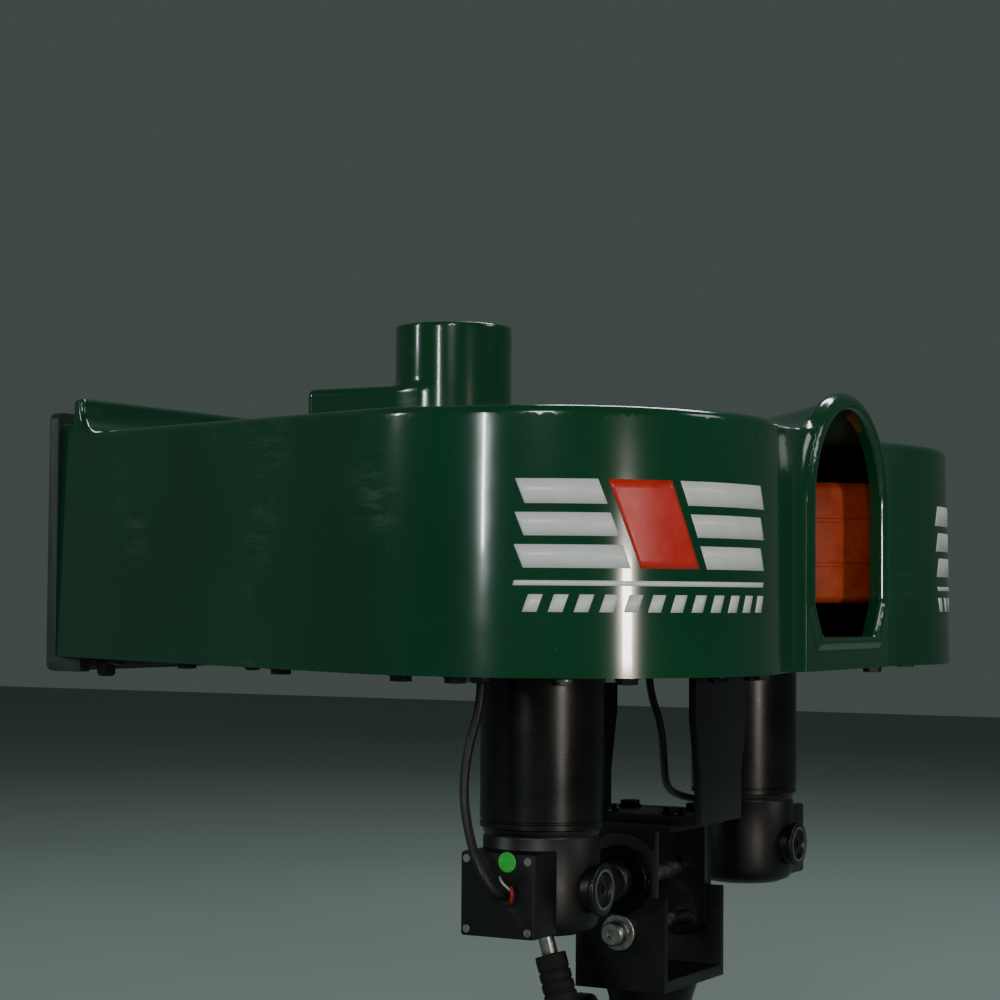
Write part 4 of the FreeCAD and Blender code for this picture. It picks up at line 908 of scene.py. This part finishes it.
motor = {
    "canRadius": 46.6, "canLow": -117, "canTop": -5, "brushDrop": 161, "boxReach": 66, "boxTop": 131,
    "boxBottom": 192, "lid": 2.5, "grommetAside": 8,
}
for side, label in ((-1, "right"), (1, "left")):
    m = motor
    axisAt = (side * wheelSide, 0, hoodBase)
    lidFace = wheelSide + (m["boxReach"] + m["lid"]) * mm
    can = lathe(f"{label}_motor_barrel", [
        (m["canRadius"] - 5, m["canLow"]), (m["canRadius"] - 0.8, m["canLow"]), (m["canRadius"], m["canLow"] + 0.8),
        (m["canRadius"], m["canLow"] + 4.5), (m["canRadius"] - 0.7, m["canLow"] + 5.2),
        (m["canRadius"] - 0.7, m["canLow"] + 6.2), (m["canRadius"], m["canLow"] + 6.9),
        (m["canRadius"], m["canTop"]), (m["canRadius"] - 5, m["canTop"])], axisAt, motorEnamel, steps=128)
    give(can, "head", "black_powder", f"{label}_motor_can")
    flange = lathe(f"{label}_motor_face", [
        (10.5, -13), (41.6, -13), (41.6, -5), (58.8, -5), (60, -4), (60, -1), (59, 0), (24, 0), (24, 6),
        (10.5, 6)], axisAt, blackPowder)
    flangeBolts = bolts(f"{label}_motor_face_bolts", [
        (side * wheelSide + 53 * mm * math.cos(a), 53 * mm * math.sin(a), hoodBase - 5 * mm)
        for a in [math.pi / 4 + k * math.pi / 2 for k in range(4)]], (0, 0, -1), zincSteel, 0.0058, 0.004, 0.0066)
    give(flange, "head", "black_powder", f"{label}_motor_flange")
    give(flangeBolts, "head", "zinc_steel")
    bell = lathe(f"{label}_motor_end_casting", [
        (13.5, -195), (31.4, -195), (33, -194.4), (40.2, -191.6), (42.6, -188), (43.6, -183), (44, -178),
        (44, -124), (43.2, -123), (43.2, -121), (44, -120), (44, -117), (38, -117), (38, -184), (36, -185),
        (13.5, -185)], axisAt, blackPowder, steps=128)
    throughBolts = bolts(f"{label}_motor_through_bolts", [
        (side * wheelSide + 27 * mm * math.cos(a), 27 * mm * math.sin(a), hoodBase - 195 * mm)
        for a in (0.0, math.pi)], (0, 0, -1), zincSteel, 0.0045, 0.0032, 0.0055)
    throughBolts.data.transform(Matrix.Translation((0, 0, 3.4 * mm)))
    bosses = [lathe(f"{label}_boss_{turn}", [
        (16.5, 34), (16.5, 46.6), (15.9, 47.4), (15.2, 48), (11, 48), (11, 34)],
        (side * wheelSide, 0, hoodBase - m["brushDrop"] * mm), blackPowder, turn, 64) for turn in ("y", "-y")]
    endCasting = joined(f"{label}_motor_end_casting_whole", [bell] + bosses)
    give(endCasting, "head", "black_powder", f"{label}_end_bell")
    give(throughBolts, "head", "zinc_steel")
    caps = []
    for turn in ("y", "-y"):
        sign = 1 if turn == "y" else -1
        at = (side * wheelSide, 0, hoodBase - m["brushDrop"] * mm)
        caps.append(lathe("cap", [
            (0, 49.6), (3.4, 49.6), (3.4, 51.2), (5.2, 51.2), (5.2, 50.6), (11.8, 50.6), (12.6, 52), (13.6, 53),
            (18.2, 53), (19.2, 52.2), (19.5, 51.2), (19.5, 49), (18.6, 48), (0, 48)], at, blackNylon, turn, 96))
        caps.append(ribsRound("grip", (at[0], sign * 50.4 * mm, at[2]), turn, 36, 19.0, (0.9, 1.6, 3.6), blackNylon))
    give(joined(f"{label}_brush_holder_caps", caps), "head", "black_plastic", f"{label}_brush_caps")
    rings = [lathe("ring", [(13.2, 52.3), (13.2, 53.25), (15.2, 53.25), (15.2, 52.3)],
                   (side * wheelSide, 0, hoodBase - m["brushDrop"] * mm), zincSteel, turn, 64)
             for turn in ("y", "-y")]
    give(joined(f"{label}_brush_cap_rings", rings), "head", "zinc_steel")
    terminal = refined(f"{label}_terminal_housing", [f"{label}_terminal_box"], blackPowder, 1.2, 3)
    give(terminal, "head", "black_powder", f"{label}_terminal_box")
    lid = refined(f"{label}_terminal_cover", [f"{label}_terminal_lid"], blackPowder, 0.7, 3)
    give(lid, "head", "black_powder", f"{label}_terminal_lid")
    lidZ = [hoodBase - (m["boxBottom"] - 5) * mm, hoodBase - (m["boxTop"] + 5) * mm]
    screws = bolts(f"{label}_cover_screws", [
        (side * (lidFace - 0.5 * mm), y, z) for y in (-0.0253, 0.0253) for z in lidZ], (side, 0, 0), zincSteel,
        0.0022, 0.0009, 0.0026)
    screws.data.transform(Matrix.Translation((-side * 0.4 * mm, 0, 0)))
    give(screws, "head", "zinc_steel")
    grommet = lathe(f"{label}_cable_grommet", [
        (3.5, -0.8), (5.5, -0.8), (5.5, 0.0), (7.4, 0.0), (8, 0.5), (8, 1.4), (7.2, 2.1), (5.4, 2.5), (3.5, 2.5)],
        (side * lidFace, -m["grommetAside"] * mm, hoodBase - m["brushDrop"] * mm), rubber,
        "x" if side > 0 else "-x", 48)
    give(grommet, "head", "rubber_black", f"{label}_grommet")
    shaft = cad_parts[f"{label}_motor_shaft"]
    shaft.data.materials.clear()
    shaft.data.materials.append(brightSteel)

# paper dot on the near terminal cover
dot = {"y": -8.2, "drop": 137, "radius": 7.3}
lidX = -(wheelSide + (motor["boxReach"] + motor["lid"]) * mm)
give(lathe("inspection_dot", [
    (0, 0.22), (dot["radius"] - 0.3, 0.22), (dot["radius"], 0.05), (dot["radius"], 0), (0, 0)],
           (lidX, dot["y"] * mm, hoodBase - dot["drop"] * mm), greenDot, "-x", 64), "head", "green_gel")
print("motors built")


# cables, along smooth curves

def cable(name, spots, radius, material, body, nodes=()):
    curve = bpy.data.curves.new(name, "CURVE")
    curve.dimensions = "3D"
    spline = curve.splines.new("NURBS")
    spline.points.add(len(spots) - 1)
    for point, spot in zip(spline.points, spots):
        point.co = (*spot, 1)
    spline.use_endpoint_u = True
    spline.order_u = 3
    spline.resolution_u = 12
    curve.bevel_depth = radius
    curve.bevel_resolution = 5
    curve.use_fill_caps = True
    holder = bpy.data.objects.new(name + "_route", curve)
    bpy.context.collection.objects.link(holder)
    graph = bpy.context.evaluated_depsgraph_get()
    mesh = bpy.data.meshes.new_from_object(holder.evaluated_get(graph), depsgraph=graph)
    bpy.data.objects.remove(holder)
    piece = ownPiece(name, mesh, material)
    return give(piece, body, "cable_sheath", *nodes)


endX = wheelSide + (motor["boxReach"] + motor["lid"] - 1) * mm
grommetZ = hoodBase - motor["brushDrop"] * mm
cableSpots = {
    "right": [(69.5, 14, 7), (69.5, 14, 24), (76.5, 21, 56), (79.5, 23, 88), (85.5, 14, 118), (91.5, 2, 140),
              (88.5, -5, 154), (79.5, -8, 161)],
    "left": [(-92.5, 50, 7), (-92.5, 50, 24), (-74.5, 46, 58), (-52.5, 54, 92), (-26.5, 64, 114), (7.5, 68, 124),
             (43.5, 60, 131), (71.5, 40, 137), (89.5, 16, 144), (88.5, -3, 155), (79.5, -8, 161)],
}
for side, label in ((-1, "right"), (1, "left")):
    route = [(side * (wheelSide + out * mm), y * mm, hoodBase - drop * mm) for out, y, drop in cableSpots[label]]
    route.append((side * endX, -0.008, grommetZ))
    cable(f"{label}_motor_lead", route, 0.0034, sheath, "head", [f"{label}_motor_cable"])

# two thin leads tucked beside the near grommet
cable("red_lead_end", [(lidX - 0.0012, -0.0125, hoodBase - 0.1545), (lidX - 0.0045, -0.0150, hoodBase - 0.1575),
                       (lidX - 0.0040, -0.0140, hoodBase - 0.1640), (lidX - 0.0008, -0.0120, hoodBase - 0.1665)],
      0.0011, redLead, "head")
cable("grey_lead_end", [(lidX - 0.0012, -0.0030, hoodBase - 0.1480), (lidX - 0.0050, -0.0055, hoodBase - 0.1500),
                        (lidX - 0.0050, -0.0100, hoodBase - 0.1540), (lidX - 0.0016, -0.0120, hoodBase - 0.1570)],
      0.0009, paleLead, "head")
print("cables laid")


# wheels

wheel = {"radius": 162, "bore": 128, "low": 52, "high": 153, "ribs": 8}
for side, label in ((-1, "right"), (1, "left")):
    at = (side * wheelSide, 0, hoodBase)
    radius, bore, low, high = (wheel[key] for key in ("radius", "bore", "low", "high"))
    tyre = lathe(f"{label}_tyre_tread", [
        (bore, low), (radius - 6, low), (radius - 4.6, low + 0.5), (radius - 0.6, low + 4.4), (radius, low + 5.8),
        (radius, low + 30), (radius - 0.8, low + 31), (radius - 0.8, low + 33), (radius, low + 34),
        (radius, high - 34), (radius - 0.8, high - 33), (radius - 0.8, high - 31), (radius, high - 30),
        (radius, high - 5.8), (radius - 0.6, high - 4.4), (radius - 4.6, high - 0.5), (radius - 6, high),
        (bore, high)], at, orangeTyre, steps=192)
    give(tyre, f"{label}_wheel", "orange_tyre", f"{label}_tyre")
    hub = lathe(f"{label}_hub_casting", [
        (9.5, 24), (28.5, 24), (30, 25.5), (30, 94), (34, 96.5), (115, 96.5), (118, 93.5), (118, 57), (119, 56),
        (128, 56), (128, 149), (119, 149), (118, 148), (118, 111.5), (115, 108.5), (28, 108.5), (24, 110),
        (22, 107), (9.5, 107)], at, castAluminium, steps=128)
    ribs = ribsRound("hub_ribs", (at[0], 0, hoodBase + 85 * mm), "z", wheel["ribs"], 74, (88, 5, 24), castAluminium)
    give(joined(f"{label}_wheel_casting", [hub, ribs]), f"{label}_wheel", "cast_aluminium", f"{label}_wheel_hub")
    nut = refined(f"{label}_axle_nut", [f"{label}_wheel_nut"], zincSteel, 0.8)
    give(nut, f"{label}_wheel", "zinc_steel", f"{label}_wheel_nut")
print("wheels built")


# saddle, tilt head, yoke and socket: folded and machined steel with softened edges

give(refined("saddle_channel", ["saddle_bracket"], blackPowder, 1.6, 3), "head", "black_powder", "saddle_bracket")
give(refined("tilt_head_plate", ["tilt_head"], blackPowder, 1.0, 3), "head", "black_powder", "tilt_head")
give(refined("yoke_weldment", ["yoke"], blackPowder, 1.1, 3), "yoke", "black_powder", "yoke")
give(refined("post_sleeve", ["post_socket"], blackPowder, 1.0, 3), "socket", "black_powder", "post_socket")

saddleBolts = {"hangX": 36, "hangY": 75, "seatX": 22, "seatY": 30}
flangeUnder, seatTop = hoodBase - 6.5 * mm, hoodBase - 119 * mm


def fourCorners(x, y, z):
    return [(i * x * mm, j * y * mm, z) for i in (-1, 1) for j in (-1, 1)]


hang = bolts("saddle_hanging_bolts", fourCorners(saddleBolts["hangX"], saddleBolts["hangY"], flangeUnder),
             (0, 0, -1), oiledSteel, 0.008, 0.0053)
seat = bolts("saddle_seat_bolts", fourCorners(saddleBolts["seatX"], saddleBolts["seatY"], seatTop),
             (0, 0, 1), oiledSteel, 0.008, 0.0053)
give(joined("saddle_hex_bolts", [hang, seat], 28), "head", "zinc_steel", "saddle_bolts")
clamp = [bolts("clamp", [(side * 0.039, 0, 0.0225)], (side, 0, 0), zincSteel, 0.008, 0.0053, 0.0092)
         for side in (1, -1)]
give(joined("post_clamp_hex_bolts", clamp, 28), "socket", "zinc_steel", "post_clamp_bolts")

pivotZ = hoodBase - 0.170
lockZ = pivotZ - 0.0422
pivot = lathe("tilt_pivot_bolt", [
    (0, -68), (11.6, -68), (13, -66.8), (13, -58.6), (12.4, -58), (8, -58), (8, 68), (0, 68)], (0, 0, pivotZ),
    zincSteel, "-x", 64)
give(pivot, "yoke", "zinc_steel", "pivot_bolt")
disc = lathe("tilt_lock_disc", [
    (8, 58), (25, 58), (25.7, 58.6), (25.7, 63.4), (25, 64), (19, 64), (18.4, 63.4), (8, 63.4)],
    (0, 0, pivotZ), oiledSteel, "-x", 96)
teeth = ribsRound("teeth", (-0.061, 0, pivotZ), "-x", 24, 26.2, (2.2, 3.4, 5.4), oiledSteel)
give(joined("toothed_tilt_disc", [disc, teeth]), "yoke", "bright_steel", "tilt_disc")
lockBolt = lathe("tilt_slot_bolt", [
    (0, -66), (9.8, -66), (11, -65), (11, -58.6), (10.5, -58), (6, -58), (6, 58), (14, 58), (14.4, 58.4),
    (14.4, 61.4), (13.6, 62), (10.2, 62.2), (10, 63), (10, 71.6), (9.6, 72.4), (8, 74),
    (3.4, 74), (2.8, 72.6), (0, 72.6)], (0, 0, lockZ), zincSteel, "-x", 64)
give(lockBolt, "yoke", "zinc_steel", "lock_bolt")
knob = lathe("tilt_hand_knob", [
    (8.05, 64.3), (13, 64.3), (15.4, 65.6), (16, 67.4), (16, 75.6), (15.4, 77.4), (14, 78.3), (11.6, 78.3),
    (10.8, 77.4), (5, 77.2), (4.4, 76.6), (0, 76.4), (0, 69), (8.05, 69)], (0, 0, pivotZ), blackNylon, "-x", 64)
flutes = ribsRound("flutes", (-0.0715, 0, pivotZ), "-x", 18, 15.4, (1.1, 2.6, 8.4), blackNylon)
collar = lathe("collar", [(11.2, 77.6), (11.2, 78.25), (13.6, 78.25), (13.6, 77.6)], (0, 0, pivotZ), oiledSteel,
               "-x", 64)
give(joined("tilt_lock_hand_knob", [knob, flutes, collar]), "tilt_lock", "black_plastic", "tilt_knob")
panKnob = lathe("pan_lock_grip", [
    (0, 22.4), (3.9, 22.4), (3.9, 46), (8.4, 46), (9, 46.6), (9, 52), (12, 53), (18.6, 54.6), (20, 56),
    (20, 66.6), (19.2, 69), (17, 72), (0, 72)], (0, 0, 0.088), blackNylon, "y", 72)
panFlutes = ribsRound("flutes", (0, 0.061, 0.088), "y", 20, 19.4, (1.1, 3, 9), blackNylon)
give(joined("pan_lock_hand_knob", [panKnob, panFlutes]), "pan_lock", "black_plastic", "pan_lock_knob")
print("yoke and socket built")


# aiming handle

gripFoot = Vector((-0.085, 0.0486, hoodBase - 0.230))
gripAim = Vector((0, -0.291, -0.957)).normalized()
give(refined("aiming_rod", ["handle_rod"], zincSteel, 0.3, 2, 50), "head", "zinc_steel", "handle_rod")
gripProfile = [(6.5, 0), (11.6, 0), (12.6, 0.9)]
for k in range(11):                                # shallow finger rings, wider to the end
    high = 6 + 8.6 * k
    own = 12.5 + 3 * high / 105
    gripProfile += [(own, high), (own, high + 5.6), (own - 0.8, high + 6.4), (own - 0.8, high + 7.8)]
gripProfile += [(15.4, 101.5), (15.2, 103), (14, 104.6), (12, 105), (0, 105), (0, 40), (6.5, 40)]
grip = lathe("handle_rubber_grip", gripProfile, gripFoot, rubber, aimed(gripAim), 56)
give(grip, "head", "rubber_black", "handle_grip")
give(refined("handle_clamp_block", ["handle_clamp"], blackPowder, 1.0, 3), "head", "black_powder", "handle_clamp")
print("handle built")


# floor of the hood and its bolts, rear panel and controls

lobeArm = 144
edgeSpots = [(118, -148.05)] + [
    (hood["lobeSide"] + lobeArm * math.cos(math.radians(a)),
     -hood["lobeForward"] + lobeArm * math.sin(math.radians(a)))
    for a in (-50, -1, 19)]
arcStart = lobeCentre + hood["lobeRadius"] * wallOut
for back in (190, 330, 450):
    share = (back - arcStart[1]) / (hood["rearEnd"] - arcStart[1])
    edgeSpots.append((arcStart[0] + (hood["rearHalf"] - arcStart[0]) * share - 26, back))
give(bolts("floor_hex_bolts", [(s * x * mm, y * mm, hoodBase) for x, y in edgeSpots for s in (-1, 1)], (0, 0, -1),
           blackPowder, 0.0078, 0.0053, 0.0092), "head", "zinc_steel", "base_bolts")
glandSpots = ((-0.262, 0.014), (0.100, 0.050))
glands = [lathe("gland", [(3.5, -8), (7.6, -8), (8.6, -7), (9, -6), (9, -1.2), (8.6, 0), (7, 0), (7, 6), (3.5, 6)],
                (x, y, hoodBase), blackNylon, "z", 48) for x, y in glandSpots]
give(joined("cable_glands", glands), "head", "black_plastic", "hood_glands")

give(refined("rear_moulded_panel", ["rear_panel"], greyMoulding, 1.2, 3), "head", "grey_moulding", "rear_panel")
give(refined("anodised_control_plate", ["control_plate"], anodised, 0.6, 2), "head", "bright_steel", "control_plate")
panelFace = 0.530
plateFace = 0.533
give(bolts("control_plate_screws", [
    (x, plateFace, hoodBase + z) for x in (-0.090, 0.090) for z in (0.040, 0.160)], (0, 1, 0), zincSteel,
    0.0034, 0.0016, 0.0042), "head", "zinc_steel")
give(bolts("rear_panel_screws", [
    (x, panelFace, hoodBase + z) for x in (-0.118, 0.118) for z in (0.020, 0.100, 0.195)], (0, 1, 0), zincSteel,
    0.0042, 0.002, 0.0054), "head", "zinc_steel")
dialSkirt = [
    (0, -14), (3, -14), (3, 3.3), (18.2, 3.3), (19, 4), (19, 6.2), (18.2, 7), (16.4, 8.6), (15.4, 14.6), (14.6, 17.6),
    (13, 19.2), (10.6, 19.5), (0, 19.5)]
for side, label in ((-1, "right"), (1, "left")):
    at = (side * 0.048, panelFace, hoodBase + 0.112)
    body = lathe("dial", dialSkirt, at, blackNylon, "y", 72)
    flutes = ribsRound("flutes", (at[0], panelFace + 0.0128, at[2]), "y", 24, 15.0, (1.5, 1.6, 7.4), blackNylon)
    pointer = block("pointer", (at[0] - 0.0008, panelFace + 0.0192, at[2] + 0.004), (
        at[0] + 0.0008, panelFace + 0.0199, at[2] + 0.0125), whiteFilm, 0.2, 2)
    give(joined(f"{label}_speed_dial", [body, flutes, pointer]), f"{label}_dial", "black_plastic",
         f"{label}_speed_knob")
    ticks = []
    for k in range(11):                            # scale round each dial
        a = math.radians(240 - 30 * k)
        out = Vector((math.cos(a), 0, math.sin(a)))
        long = 0.0062 if k % 5 == 0 else 0.0040
        across = Vector((-math.sin(a), 0, math.cos(a))) * 0.0006
        centre = Vector((at[0], plateFace, at[2]))
        corners = [centre + out * 0.0225 - across, centre + out * 0.0225 + across,
                   centre + out * (0.0225 + long) + across, centre + out * (0.0225 + long) - across]
        shape = [(c.x, c.z) for c in corners]
        ticks.append(slab("tick", shape, "xz", plateFace - 0.0002, plateFace + 0.00025, whiteFilm, 0))
    give(joined(f"{label}_dial_scale", ticks), "head", "bright_steel")
give(refined("rocker_cap", ["power_rocker"], blackNylon, 0.8, 3), "rocker", "black_plastic", "power_rocker")
give(refined("rocker_bezel", ["switch_housing"], blackNylon, 0.6, 2), "head", "black_plastic", "switch_housing")
give(refined("mains_inlet", ["power_inlet"], blackNylon, 0.5, 2), "head", "black_plastic", "power_inlet")
give(refined("rear_foot_rail", ["rear_rail"], blackPowder, 0.6, 2), "head", "black_powder", "rear_rail")
feet = []
for x in (-0.112, 0.112):
    feet.append(lathe("foot", [
        (0, -17), (4, -17), (6.6, -16.4), (7.8, -14.6), (8, -13), (7.6, -5), (8, -3), (8, 0), (0, 0)],
        (x, 0.478, hoodBase), rubber, "z", 48))
give(joined("rubber_bump_feet", feet), "head", "rubber_black", "rubber_feet")

kept = {
    "pan_spindle": brightSteel, "thrust_washer": bronze, "pan_bush": bronze, "base_plate": plateAluminium,
    "speed_pots": blackNylon, "speed_controller": castAluminium, "ball_chute": chutePlastic,
    "chute_bracket": plateAluminium,
}
for node, material in kept.items():
    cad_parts[node].data.materials.clear()
    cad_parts[node].data.materials.append(material)
print("rear panel and controls built")
